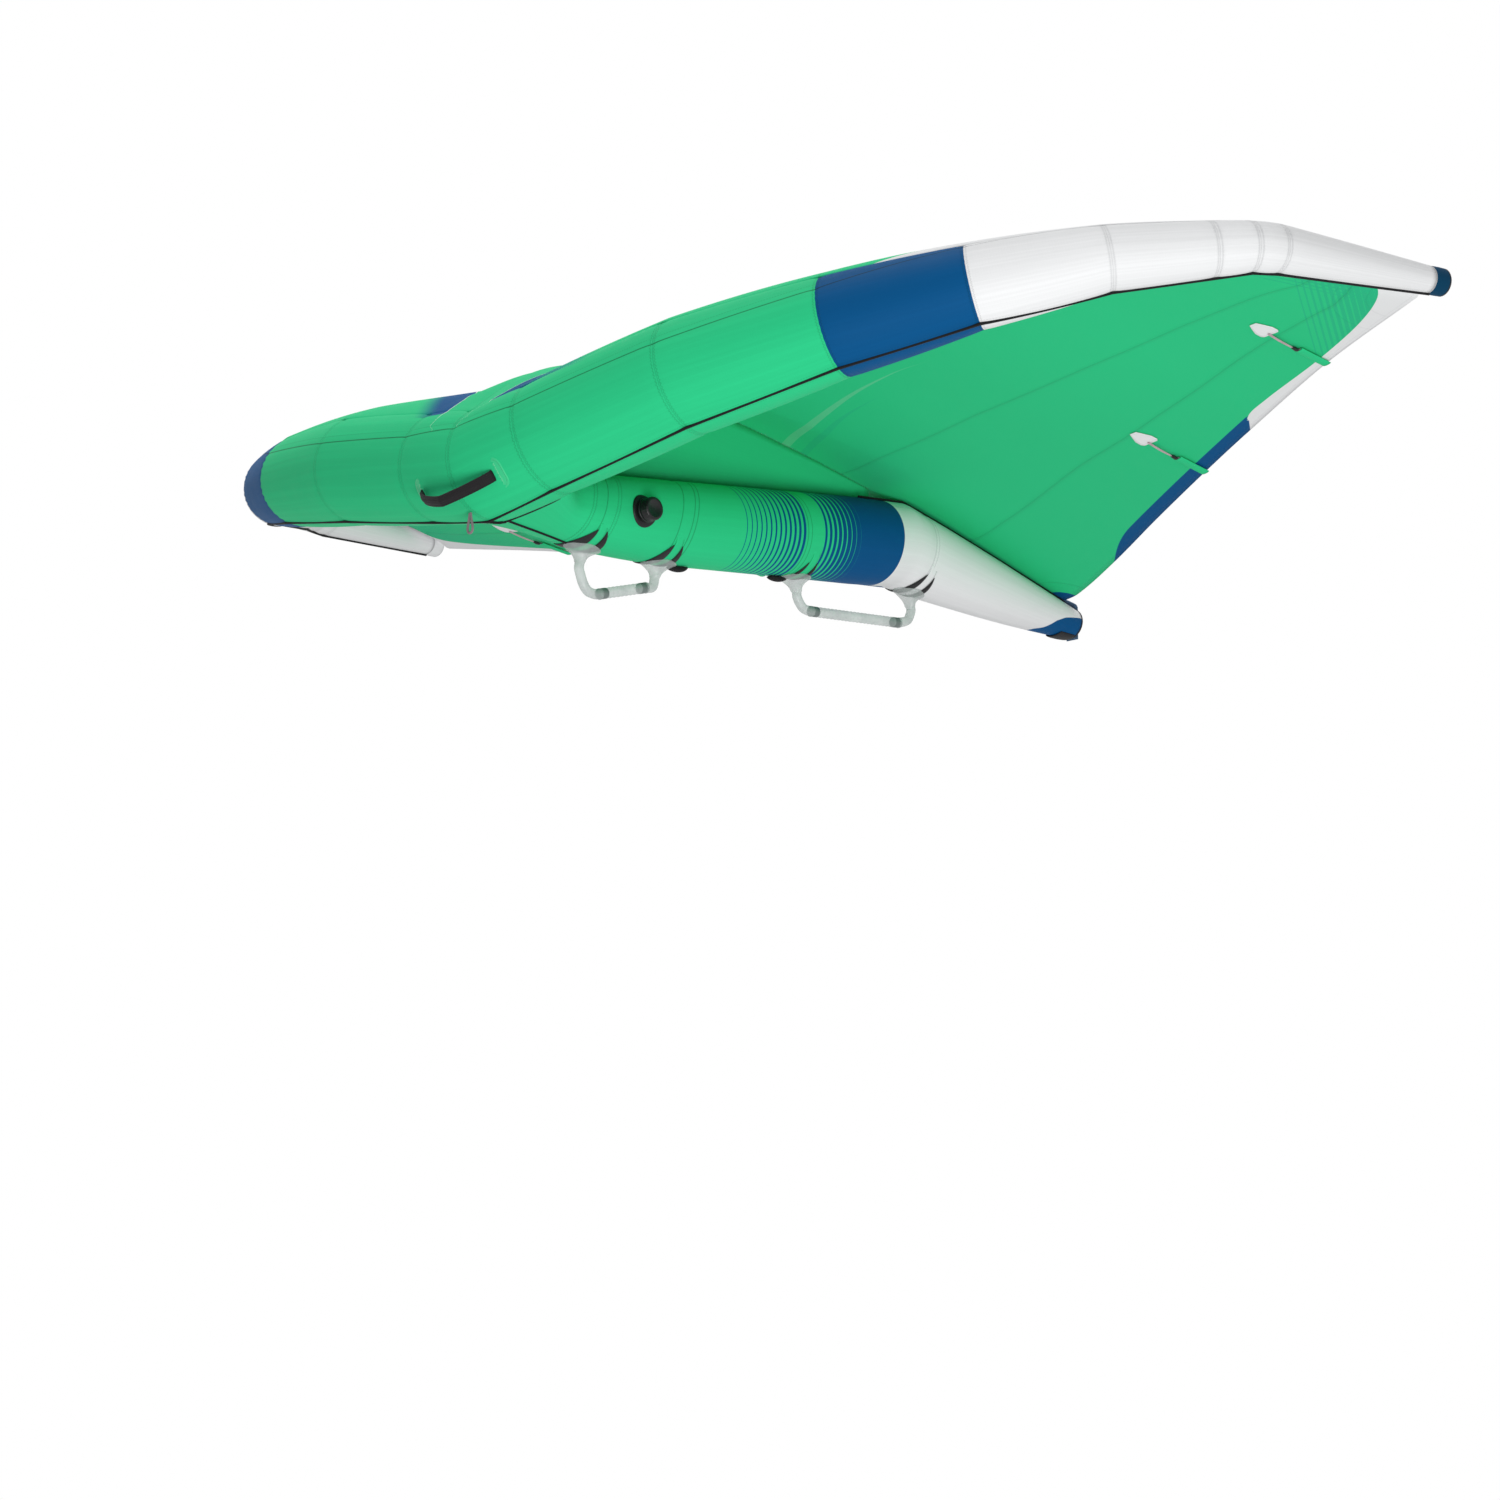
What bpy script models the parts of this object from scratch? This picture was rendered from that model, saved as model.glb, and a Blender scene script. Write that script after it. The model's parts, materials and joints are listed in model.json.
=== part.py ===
"""A hand-held inflatable wing for wing foiling, 4.5 square metres, blown up and ready to use.

Metres, +Z up. The wing flies towards -Y, its span runs along X and its strut along Y. Inside this
file the shape is worked out from the middle of the leading edge tube at the nose, and an empty then
moves it all so that the origin is the middle of the front handle's grip, where a hand holds it.

The frame is two cloth tubes, the bent leading edge and the centre strut, each with an air bladder
inside. Their joint is a hose through both. The sail is sewn over the leading edge and lies on the rear
of the strut, and a cloth web closes the space between the sail and the front of the strut.
"""
import math

import bmesh
import bpy
from mathutils import Matrix, Vector

# Driving sizes
HALF_SPAN = 1.581
CHORD = 1.860
TIP_RISE = 0.308
TUBE_RADIUS = 0.122
STRUT_RADIUS = 0.101

# Walls and gaps
TUBE_CLOTH = 0.0020
STRUT_CLOTH = 0.0018
SAIL_CLOTH = 0.0012
BLADDER_WALL = 0.0010
BLADDER_GAP = 0.0025
SEAT_GAP = 0.0003
CLOTH_GAP = 0.0010
CUT_OVERRUN = 0.010

# Facets
TUBE_SIDES = 24
BLADDER_SIDES = 16
ROUND_STEPS = 24
SMALL_STEPS = 16
SAIL_ROWS = 11

# The leading edge from the nose to the tip, one row a sewn bend:
# share of the half span, of the chord, of the tip's rise, and of the tube's radius
LEADING_EDGE_SHARES = (
    (0.000, 0.000, 0.000, 1.000),
    (0.103, 0.011, 0.097, 1.000),
    (0.325, 0.041, 0.327, 1.000),
    (0.535, 0.093, 0.510, 0.866),
    (0.696, 0.162, 0.678, 0.709),
    (0.828, 0.248, 0.830, 0.546),
    (0.907, 0.343, 0.930, 0.464),
    (0.937, 0.377, 0.959, 0.429),
    (0.949, 0.407, 0.970, 0.425),
    (1.000, 0.627, 1.000, 0.240),
)
# Where the sail that starts at each of those bends ends: share of the half span along the trailing edge
SAIL_END_SHARES = (0.0, 0.105, 0.320, 0.525, 0.680, 0.800, 0.865, 0.900, 0.925, 0.967)
# How far in front of the tube's top the sail leaves it, in degrees
SAIL_LEAVES_AT = (30.0, 30.0, 30.0, 30.0, 28.0, 20.0, 10.0, 5.0, 2.0, 0.0)
# The sail's fullness: lengths of its two tangents as shares of its own chord, and the rear one's slope
FRONT_TANGENT_SHARES = (0.26, 0.25, 0.22, 0.20, 0.19, 0.17, 0.15, 0.14, 0.14, 0.14)
REAR_TANGENT_SHARES = (0.47, 0.47, 0.48, 0.50, 0.48, 0.45, 0.45, 0.45, 0.45, 0.25)
FRONT_TANGENT_LEAST = 1.15
REAR_SLOPES = (0.25, 0.22, 0.17, 0.13, 0.12, 0.10, 0.09, 0.08, 0.08, 0.06)
# The trailing edge: share of the half span, of the chord, and of the tip's rise
TRAILING_EDGE_SHARES = (
    (0.000, 1.000, 0.000),
    (0.040, 0.996, 0.030),
    (0.160, 0.948, 0.140),
    (0.300, 0.888, 0.292),
    (0.450, 0.827, 0.455),
    (0.566, 0.785, 0.591),
    (0.762, 0.716, 0.803),
    (0.967, 0.647, 0.949),
)
# The bends at which the sail has a row of its own, and the places between them
SAIL_COLUMNS = (0.0, 0.5, 1.0, 1.5, 2.0, 2.5, 3.0, 3.5, 4.0, 4.5, 5.0, 5.5, 6.0, 7.0, 8.0, 8.35, 8.7, 9.0)

# The strut from front to rear: share of the chord, and of the strut's radius
STRUT_SHARES = (
    (0.038, 0.86), (0.110, 0.89), (0.190, 0.92), (0.265, 0.93), (0.340, 0.945), (0.420, 0.96),
    (0.496, 0.975), (0.597, 1.00), (0.672, 0.99), (0.737, 0.915), (0.796, 0.82), (0.854, 0.72),
    (0.903, 0.625), (0.944, 0.54), (0.985, 0.45), (1.019, 0.37),
)
STRUT_FRONT_DROP = 0.0895
STRUT_CLIMB = 0.105

# The tip
TIP_CAP_LENGTH = 0.036
TIP_CAP_WALL = 0.0022
TIP_PLUG_LIP = 0.0045
TIP_PLUG_LENGTH = 0.022
TIP_PLUG_WALL = 0.0030

# The inflation valve, on the strut's +X side
VALVE_BACK = 0.362
VALVE_FLANGE_RADIUS = 0.035
VALVE_FLANGE_THICKNESS = 0.0030
VALVE_NECK_RADIUS = 0.0240
VALVE_RIM_RADIUS = 0.0275
VALVE_RIM_THICKNESS = 0.0050
VALVE_BORE = 0.0150
VALVE_DEPTH = 0.024
VALVE_STANDOFF = 0.0020
VALVE_CAP_RADIUS = 0.0260
VALVE_CAP_HEIGHT = 0.021
VALVE_CAP_WALL = 0.0024
VALVE_FLAP_THICKNESS = 0.0015
RUNNING_GAP = 0.0006

# The hose that joins the bladders
HOSE_RADIUS = 0.0090
HOSE_WALL = 0.0020
HOSE_COLLAR_RADIUS = 0.0160
HOSE_COLLAR_THICKNESS = 0.0030
HOSE_REACH = 0.014
HOSE_DROP = 0.030
STRUT_BLADDER_START_SHARE = 0.095
STRUT_BLADDER_END_SHARE = 0.985

# The handles: each foot's place and the grip's ends, back from the nose and down from it
BAR_RADIUS = 0.0135
BAR_BORE = 0.0088
BAR_WAVE = 0.0010
BAR_WAVE_LENGTH = 0.022
LEG_RADIUS = 0.0118
LEG_BEND = 0.030
SPIGOT_LENGTH = 0.030
FOOT_HALF_LENGTH = 0.050
FOOT_HALF_WIDTH = 0.033
FOOT_FLARE = 0.034
FOOT_WALL = 0.006
HANDLES = {
    "front": {"feet": (0.262, 0.492), "bar": ((0.300, -0.240), (0.442, -0.193))},
    "rear": {"feet": (0.900, 1.318), "bar": ((0.945, -0.171), (1.262, -0.145))},
}

# Webbing and pads on the strut
STRAP_WIDTH = 0.022
STRAP_THICKNESS = 0.0014
STRAP_HALF_ANGLE = 84.0
PAD_THICKNESS = 0.0020
PAD_HALF_ANGLE = 62.0
PAD_FRONT_WIDTH = 0.040
PAD_REAR_WIDTH = 0.024
PAD_TIP_WIDTH = 0.003
TAB_PLACES = (0.570, 0.822)
TAB_LENGTH = 0.046
TAB_WIDTH = 0.016
TAB_DROP = 0.014
TAB_RADIUS = 0.0040

# The grab handle and the leash loop on the leading edge
GRAB_HALF_SPAN = 0.105
GRAB_BELOW_FRONT = 38.0
GRAB_BOW = 0.040
GRAB_HALF_WIDTH = 0.0125
GRAB_HALF_THICKNESS = 0.0050
GRAB_TAB = 0.016
GRAB_PATCH_WIDTH = 0.044
GRAB_PATCH_HALF_ANGLE = 17.0
GRAB_PATCH_THICKNESS = 0.0012
LEASH_BELOW_FRONT = 64.0
LEASH_HALF_WIDTH = 0.0075
LEASH_DROP = 0.043
LEASH_RADIUS = 0.0026

# The strut's rear end
LIP_RADIUS = 0.0030
END_STRAP_WIDTH = 0.036
END_STRAP_THICKNESS = 0.0018
END_STRAP_RUN = 0.062
END_STRAP_STANDOFF = 0.0020
END_PAD_LENGTH = 0.070
END_PAD_HALF_ANGLE = 38.0
END_PAD_THICKNESS = 0.0040
END_PAD_INSET = 0.006

# The battens at the trailing edge, as shares of the half span
BATTEN_SHARES = {"inner": 0.4475, "outer": 0.7615}
BATTEN_PATCH_FRONT = 0.262
BATTEN_PATCH_REAR = 0.198
BATTEN_PATCH_NARROW = 0.014
BATTEN_PATCH_WIDE = 0.044
BATTEN_PATCH_THICKNESS = 0.0012
BATTEN_TOGGLE = 0.110
BATTEN_TOGGLE_RADIUS = 0.0042
BATTEN_TOGGLE_LENGTH = 0.016
BATTEN_LINE_RADIUS = 0.0013
BATTEN_LINE_DROP = 0.0070
BATTEN_SLEEVE_START = 0.103
BATTEN_SLEEVE_END = 0.004
BATTEN_SLEEVE_WIDTH = 0.020
BATTEN_SLEEVE_WALL = 0.0010
BATTEN_THICKNESS = 0.0022
BATTEN_WIDTH = 0.012

# Finishes: colour, roughness, metallic
FINISHES = {
    "green_cloth": ((0.045, 0.62, 0.26), 0.62, 0.0),
    "white_cloth": ((0.86, 0.86, 0.86), 0.62, 0.0),
    "blue_cloth": ((0.006, 0.09, 0.25), 0.62, 0.0),
    "clear_bladder": ((0.72, 0.74, 0.72), 0.30, 0.0),
    "black_rubber": ((0.012, 0.012, 0.013), 0.50, 0.0),
    "black_plastic": ((0.010, 0.010, 0.011), 0.32, 0.0),
    "black_webbing": ((0.014, 0.014, 0.015), 0.80, 0.0),
    "blue_webbing": ((0.020, 0.10, 0.24), 0.80, 0.0),
    "pale_moulding": ((0.55, 0.60, 0.57), 0.28, 0.0),
    "pale_cord": ((0.45, 0.40, 0.40), 0.75, 0.0),
    "grey_fibre": ((0.10, 0.10, 0.10), 0.35, 0.0),
}


def clear_scene():
    """Remove what the scene starts with."""
    for thing in list(bpy.data.objects):
        bpy.data.objects.remove(thing, do_unlink=True)


def make_finishes():
    """One Principled material for each finish."""
    made = {}
    for name, (colour, roughness, metallic) in FINISHES.items():
        made[name] = bpy.data.materials.new(name)
        made[name].use_nodes = True
        shader = made[name].node_tree.nodes["Principled BSDF"]
        shader.inputs["Base Color"].default_value = (*colour, 1.0)
        shader.inputs["Roughness"].default_value = roughness
        shader.inputs["Metallic"].default_value = metallic
    return made


class Bench:
    """The collections, finishes and origin that every piece is put on."""

    def __init__(self):
        clear_scene()
        self.finishes = make_finishes()
        self.pieces = bpy.data.collections.new("wingfoil_wing")
        self.cutters = bpy.data.collections.new("cutters")
        bpy.context.scene.collection.children.link(self.pieces)
        bpy.context.scene.collection.children.link(self.cutters)
        self.origin = bpy.data.objects.new("nose_frame", None)
        self.origin.location = -grip_centre()
        bpy.context.scene.collection.objects.link(self.origin)

    def pivot(self, name, place):
        """An empty on the axis that a piece turns about."""
        empty = bpy.data.objects.new(name, None)
        bpy.context.scene.collection.objects.link(empty)
        empty.parent = self.origin
        empty.location = place
        return empty

    def add(self, name, data, finish, place=(0.0, 0.0, 0.0), turn=None, parent=None):
        """A piece from a mesh or curve, in its own place and finish."""
        piece = bpy.data.objects.new(name, data)
        self.pieces.objects.link(piece)
        piece.parent = parent or self.origin
        piece.location = place
        if turn is not None:
            piece.rotation_mode = "QUATERNION"
            piece.rotation_quaternion = turn
        data.materials.append(self.finishes[finish])
        if isinstance(data, bpy.types.Mesh):
            data.shade_smooth()
            data.set_sharp_from_angle(angle=math.radians(40.0))
        return piece

    def cutter(self, name, data, place=(0.0, 0.0, 0.0), turn=None):
        """A body that only cuts others."""
        piece = bpy.data.objects.new(name, data)
        self.cutters.objects.link(piece)
        piece.parent = self.origin
        piece.location = place
        if turn is not None:
            piece.rotation_mode = "QUATERNION"
            piece.rotation_quaternion = turn
        piece.hide_render = True
        piece.display_type = "WIRE"
        return piece


# Shared geometry

def between(low, high, share):
    """The value a share of the way from one value to another."""
    return low + (high - low) * share


def split(place, count):
    """A place along a list as the index before it and the share of the way to the next."""
    index = min(int(place), count - 2)
    return index, place - index


def read_table(table, place):
    """A table's row at a place between its rows."""
    index, share = split(place, len(table))
    low, high = table[index], table[index + 1]
    if isinstance(low, tuple):
        return tuple(between(a, b, share) for a, b in zip(low, high))
    return between(low, high, share)


def look_up(table, key):
    """A table's row, less its first column, at a value of that column."""
    for low, high in zip(table, table[1:]):
        if key <= high[0]:
            break
    share = (key - low[0]) / (high[0] - low[0])
    return tuple(between(a, b, share) for a, b in zip(low[1:], high[1:]))


def loft(rows, closed=False, capped=False):
    """A surface through rows of points, each row the same length."""
    bm = bmesh.new()
    made = [[bm.verts.new(point) for point in row] for row in rows]
    count = len(rows[0])
    for near, far in zip(made, made[1:]):
        for j in range(count if closed else count - 1):
            k = (j + 1) % count
            bm.faces.new((near[j], near[k], far[k], far[j]))
    if capped:
        bm.faces.new(list(reversed(made[0])))
        bm.faces.new(made[-1])
    return bm


def to_mesh(bm, name):
    """A mesh from a bmesh."""
    mesh = bpy.data.meshes.new(name)
    bm.to_mesh(mesh)
    bm.free()
    return mesh


def thicken(piece, thickness, offset=-1.0):
    """A wall on an open surface: inwards, against its normals, unless the offset says otherwise."""
    wall = piece.modifiers.new("wall", "SOLIDIFY")
    wall.thickness = thickness
    wall.offset = offset
    wall.use_even_offset = True
    return wall


def cut(piece, cutter, operation="DIFFERENCE"):
    """A Boolean cut, join or overlap."""
    step = piece.modifiers.new("cut", "BOOLEAN")
    step.operation = operation
    step.solver = "EXACT"
    step.object = cutter
    return step


def turned_mesh(name, profile, loop):
    """The half outline of a turned piece: radius and height, down the outer side."""
    bm = bmesh.new()
    points = [bm.verts.new((radius, 0.0, height)) for radius, height in profile]
    for a, b in zip(points, points[1:]):
        bm.edges.new((a, b))
    if loop:
        bm.edges.new((points[-1], points[0]))
    return to_mesh(bm, name)


def turn_it(piece, steps):
    """The Screw that turns a half outline into a solid."""
    spin = piece.modifiers.new("turned", "SCREW")
    spin.angle = math.tau
    spin.steps = steps
    spin.render_steps = steps
    spin.use_merge_vertices = True
    spin.merge_threshold = 0.00001
    spin.use_smooth_shade = True


def ring_rows(centres, frames, radii, sides, offset=0.0):
    """Rings of points round a path: each frame is its up and side directions."""
    rows = []
    for centre, (up, side), radius in zip(centres, frames, radii):
        reach = radius + offset
        rows.append([centre + (up * math.cos(a) + side * math.sin(a)) * reach
                     for a in (math.tau * j / sides for j in range(sides))])
    return rows


def path_frames(centres):
    """At each point of a path, its up direction and the side that lies right of the way along it."""
    frames = []
    for i, centre in enumerate(centres):
        before = (centre - centres[i - 1]).normalized() if i else None
        after = (centres[i + 1] - centre).normalized() if i + 1 < len(centres) else None
        along = ((before or after) + (after or before)).normalized()
        up = (Vector((0.0, 0.0, 1.0)) - along * along.z).normalized()
        frames.append((up, along.cross(up)))
    return frames


# The leading edge and the sail

def tube_centre(place):
    """The tube's middle at a place counted in bends from the nose, on the +X side."""
    span, back, rise, _ = read_table(LEADING_EDGE_SHARES, place)
    return Vector((HALF_SPAN * span, CHORD * back, TIP_RISE * rise))


def tube_radius(place):
    """The tube's radius there."""
    return TUBE_RADIUS * read_table(LEADING_EDGE_SHARES, place)[3]


def mirrored(point):
    """The same point on the other half."""
    return Vector((-point.x, point.y, point.z))


BENDS = len(LEADING_EDGE_SHARES)
RIGHT_TUBE = [tube_centre(i) for i in range(BENDS)]
TUBE_PATH = [mirrored(point) for point in reversed(RIGHT_TUBE[1:])] + RIGHT_TUBE
TUBE_RADII = [tube_radius(abs(i)) for i in range(1 - BENDS, BENDS)]
TUBE_FRAMES = path_frames(TUBE_PATH)


def tube_surface(place, angle, offset=0.0):
    """A point on the tube, the angle counted in degrees from its top towards its front."""
    index, share = split(place + BENDS - 1, len(TUBE_PATH))
    ends = []
    for i in (index, index + 1):
        up, front = TUBE_FRAMES[i]
        reach = TUBE_RADII[i] + offset
        turn = math.radians(angle)
        ends.append(TUBE_PATH[i] + (up * math.cos(turn) + front * math.sin(turn)) * reach)
    return ends[0].lerp(ends[1], share)


def tube_out(place, angle):
    """The direction straight out of the tube there."""
    return (tube_surface(place, angle, TUBE_RADIUS) - tube_surface(place, angle)).normalized()


def trailing_edge(span_share):
    """A point of the trailing edge on the +X side."""
    back, rise = look_up(TRAILING_EDGE_SHARES, span_share)
    return Vector((HALF_SPAN * span_share, CHORD * back, TIP_RISE * rise))


def sail_point(place, share):
    """A point of the sail's upper face: the place in bends from the nose, the share from front to rear."""
    angle = read_table(SAIL_LEAVES_AT, place)
    start = tube_surface(place, angle, CLOTH_GAP + SAIL_CLOTH)
    end = trailing_edge(read_table(SAIL_END_SHARES, place))
    out = tube_out(place, angle)
    along = (tube_surface(place, angle - 90.0, TUBE_RADIUS) - tube_surface(place, angle - 90.0)).normalized()
    length = (end - start).length
    level = Vector((end.x - start.x, end.y - start.y, 0.0)).normalized()
    rear = level * (read_table(REAR_TANGENT_SHARES, place) * length)
    rear.z = -read_table(REAR_SLOPES, place) * rear.length
    if place == 0.0:
        out.x, along.x = 0.0, 0.0
    reach = max(read_table(FRONT_TANGENT_SHARES, place) * length, FRONT_TANGENT_LEAST * tube_radius(place))
    handles = (start, start + along * reach, end - rear, end)
    left = 1.0 - share
    weights = (left ** 3, 3.0 * share * left ** 2, 3.0 * share ** 2 * left, share ** 3)
    return sum((point * weight for point, weight in zip(handles, weights)), Vector((0.0, 0.0, 0.0)))


SAIL_STEPS = [(j / (SAIL_ROWS - 1)) ** 1.25 for j in range(SAIL_ROWS)]
SAIL_MIDDLE = [sail_point(0.0, share) for share in SAIL_STEPS]


def middle_height(back):
    """The height of the sail's upper face over the strut, at a distance behind the nose."""
    if back > CHORD:
        return -(back - CHORD) * REAR_SLOPES[0]
    for near, far in zip(SAIL_MIDDLE, SAIL_MIDDLE[1:]):
        if back <= far.y:
            break
    return between(near.z, far.z, (back - near.y) / (far.y - near.y))


def under_sail(x, y, drop):
    """A point a drop below the sail's lower face at a place in plan, on the +X side."""
    place, share = 3.0, 0.8
    for _ in range(12):
        here = sail_point(place, share)
        step = 0.001
        by_place = (sail_point(place + step, share) - here) / step
        by_share = (sail_point(place, share + step) - here) / step
        det = by_place.x * by_share.y - by_place.y * by_share.x
        dx, dy = x - here.x, y - here.y
        place += (dx * by_share.y - dy * by_share.x) / det
        share += (dy * by_place.x - dx * by_place.y) / det
        place = min(max(place, 0.0), BENDS - 1.01)
    here = sail_point(place, share)
    return Vector((x, y, here.z - SAIL_CLOTH - drop))


# The strut

def strut_radius(back):
    """The strut's radius at a distance behind the nose."""
    return STRUT_RADIUS * look_up(STRUT_SHARES, back / CHORD)[0]


def strut_axis(back):
    """The strut's middle there: a straight climb until the strut lies against the sail."""
    climb = back * STRUT_CLIMB - STRUT_FRONT_DROP
    near, far = middle_height(back - STRUT_RADIUS), middle_height(back + STRUT_RADIUS)
    slope = (far - near) / (2.0 * STRUT_RADIUS)
    against_sail = middle_height(back) - SAIL_CLOTH - CLOTH_GAP * 2.0 - strut_radius(back) * math.hypot(1.0, slope)
    return Vector((0.0, back, min(climb, against_sail)))


STRUT_BACKS = [CHORD * share for share, _ in STRUT_SHARES]
STRUT_PATH = [strut_axis(back) for back in STRUT_BACKS]
STRUT_RADII = [strut_radius(back) for back in STRUT_BACKS]
STRUT_FRAMES = path_frames(STRUT_PATH)


def strut_surface(back, angle, offset=0.0):
    """A point on the strut, the angle in degrees from its underside towards +X."""
    index = max(i for i, start in enumerate(STRUT_BACKS[:-1]) if start <= back)
    share = (back - STRUT_BACKS[index]) / (STRUT_BACKS[index + 1] - STRUT_BACKS[index])
    turn = math.radians(angle)
    ends = []
    for i in (index, index + 1):
        up, side = STRUT_FRAMES[i]
        ends.append(STRUT_PATH[i] + (side * math.sin(turn) - up * math.cos(turn)) * (STRUT_RADII[i] + offset))
    return ends[0].lerp(ends[1], share)


def strut_skin(offset):
    """The strut's outer surface, open at its ends, grown by an offset."""
    rows = ring_rows(STRUT_PATH, STRUT_FRAMES, STRUT_RADII, TUBE_SIDES, offset)
    return rows


# Sub-assemblies

def grip_centre():
    """The middle of the front handle's bar."""
    (front_back, front_up), (rear_back, rear_up) = HANDLES["front"]["bar"]
    return Vector((0.0, (front_back + rear_back) / 2.0, (front_up + rear_up) / 2.0))


def hose_line():
    """The ends of the hose and its height: it runs level, straight through the two bladders' walls."""
    inside = (TUBE_RADIUS - TUBE_CLOTH - BLADDER_GAP - BLADDER_WALL) * math.cos(math.pi / BLADDER_SIDES)
    collar_low = HOSE_DROP + HOSE_COLLAR_RADIUS
    front = math.sqrt(inside ** 2 - collar_low ** 2) - RUNNING_GAP - HOSE_REACH / 2.0
    rear = CHORD * STRUT_BLADDER_START_SHARE + BLADDER_WALL + HOSE_REACH
    return front, rear


def hose_cutter(bench):
    """The hole for the hose in every wall that it passes."""
    front, rear = hose_line()
    radius = HOSE_RADIUS + RUNNING_GAP
    profile = ((0.0, rear + CUT_OVERRUN), (radius, rear + CUT_OVERRUN), (radius, front), (0.0, front))
    facing_back = Vector((0.0, 1.0, 0.0)).to_track_quat("Z", "X")
    piece = bench.cutter("hose_hole", turned_mesh("hose_hole", profile, False), (0.0, 0.0, -HOSE_DROP), facing_back)
    turn_it(piece, SMALL_STEPS)
    return piece


def leading_edge(bench, hose_hole):
    """The sewn tube, open at its tips, with its bladder inside."""
    rows = ring_rows(TUBE_PATH, TUBE_FRAMES, TUBE_RADII, TUBE_SIDES)
    sleeve = bench.add("leading_edge_sleeve", to_mesh(loft(rows, closed=True), "leading_edge_sleeve"), "green_cloth")
    thicken(sleeve, TUBE_CLOTH)
    cut(sleeve, hose_hole)

    inset = -(TUBE_CLOTH + BLADDER_GAP)
    path = list(TUBE_PATH)
    ends = []
    for end, inner in ((0, 1), (-1, -2)):
        ends.append(path[end].lerp(path[inner], TIP_PLUG_LENGTH * 2.0 / (path[end] - path[inner]).length))
    path[0], path[-1] = ends
    rows = ring_rows(path, TUBE_FRAMES, TUBE_RADII, BLADDER_SIDES, inset)
    bladder = bench.add("leading_edge_bladder", to_mesh(loft(rows, closed=True, capped=True), "leading_edge_bladder"),
                        "clear_bladder")
    thicken(bladder, BLADDER_WALL)
    cut(bladder, hose_hole)


def tip(bench, side, sign):
    """The cap that lengthens the tube's end and the black plug in it."""
    radius = TUBE_RADII[-1]
    along = (TUBE_PATH[-1] - TUBE_PATH[-2]).normalized()
    end = TUBE_PATH[-1] + along * SEAT_GAP
    place = end if sign > 0 else mirrored(end)
    facing = (along if sign > 0 else mirrored(along)).to_track_quat("Z", "Y")
    inner = radius - TIP_CAP_WALL
    profile = ((radius, TIP_CAP_LENGTH), (radius, 0.0), (inner, 0.0), (inner, TIP_CAP_LENGTH))
    cap = bench.add(f"tip_cap_{side}", turned_mesh("tip_cap", profile, True), "blue_cloth", place, facing)
    turn_it(cap, ROUND_STEPS)

    top = TIP_CAP_LENGTH + SEAT_GAP
    spigot = (inner - RUNNING_GAP) * math.cos(math.pi / ROUND_STEPS)
    bore = spigot - TIP_PLUG_WALL
    edge = TIP_PLUG_LIP / 3.0
    profile = ((0.0, top + TIP_PLUG_LIP), (radius - edge, top + TIP_PLUG_LIP), (radius, top + TIP_PLUG_LIP - edge),
               (radius, top), (spigot, top), (spigot, top - TIP_PLUG_LENGTH), (bore, top - TIP_PLUG_LENGTH),
               (bore, top), (0.0, top))
    plug = bench.add(f"tip_plug_{side}", turned_mesh("tip_plug", profile, False), "black_rubber", place, facing)
    turn_it(plug, ROUND_STEPS)


def sail(bench):
    """The canopy, one sheet from tip to tip with a crease along its middle, and the web under it."""
    right = [[sail_point(place, share) for share in reversed(SAIL_STEPS)] for place in SAIL_COLUMNS]
    left = [[mirrored(point) for point in row] for row in reversed(right[1:])]
    canopy = bench.add("canopy", to_mesh(loft(left + right), "canopy"), "green_cloth")
    thicken(canopy, SAIL_CLOTH)

    outline_top, outline_low = [], []
    for i in range(WEB_POINTS):
        low = strut_surface(CHORD * between(*WEB_SHARES, i / (WEB_POINTS - 1)), 180.0, CLOTH_GAP)
        clear_of_tube = TUBE_RADIUS + CLOTH_GAP
        if low.y < clear_of_tube:
            low.z = max(low.z, math.sqrt(clear_of_tube ** 2 - low.y ** 2) + CLOTH_GAP)
        top = middle_height(low.y) - SAIL_CLOTH - CLOTH_GAP * 2.0
        outline_top.append(Vector((0.0, low.y, top)))
        outline_low.append(Vector((0.0, low.y, min(low.z, top - SAIL_CLOTH))))
    web = bench.add("centre_web", to_mesh(loft([outline_low, outline_top]), "centre_web"), "green_cloth")
    thicken(web, SAIL_CLOTH, 0.0)


WEB_SHARES = (0.060, 0.612)
WEB_POINTS = 16


def tube_cutter(bench):
    """The leading edge as a solid, a little larger: what meets the tube is cut by it."""
    near_nose = slice(BENDS - 3, BENDS + 2)
    rows = ring_rows(TUBE_PATH[near_nose], TUBE_FRAMES[near_nose], TUBE_RADII[near_nose], TUBE_SIDES, SEAT_GAP * 2.0)
    return bench.cutter("tube_body", to_mesh(loft(rows, closed=True, capped=True), "tube_body"))


def valve_axis():
    """Where the valve's own axis leaves the strut's surface."""
    middle = (strut_surface(VALVE_BACK, 0.0) + strut_surface(VALVE_BACK, 180.0)) / 2.0
    reach = strut_surface(VALVE_BACK, 90.0).x
    return Vector((reach, VALVE_BACK, middle.z))


FACING_X = Vector((1.0, 0.0, 0.0)).to_track_quat("Z", "Y")


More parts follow.
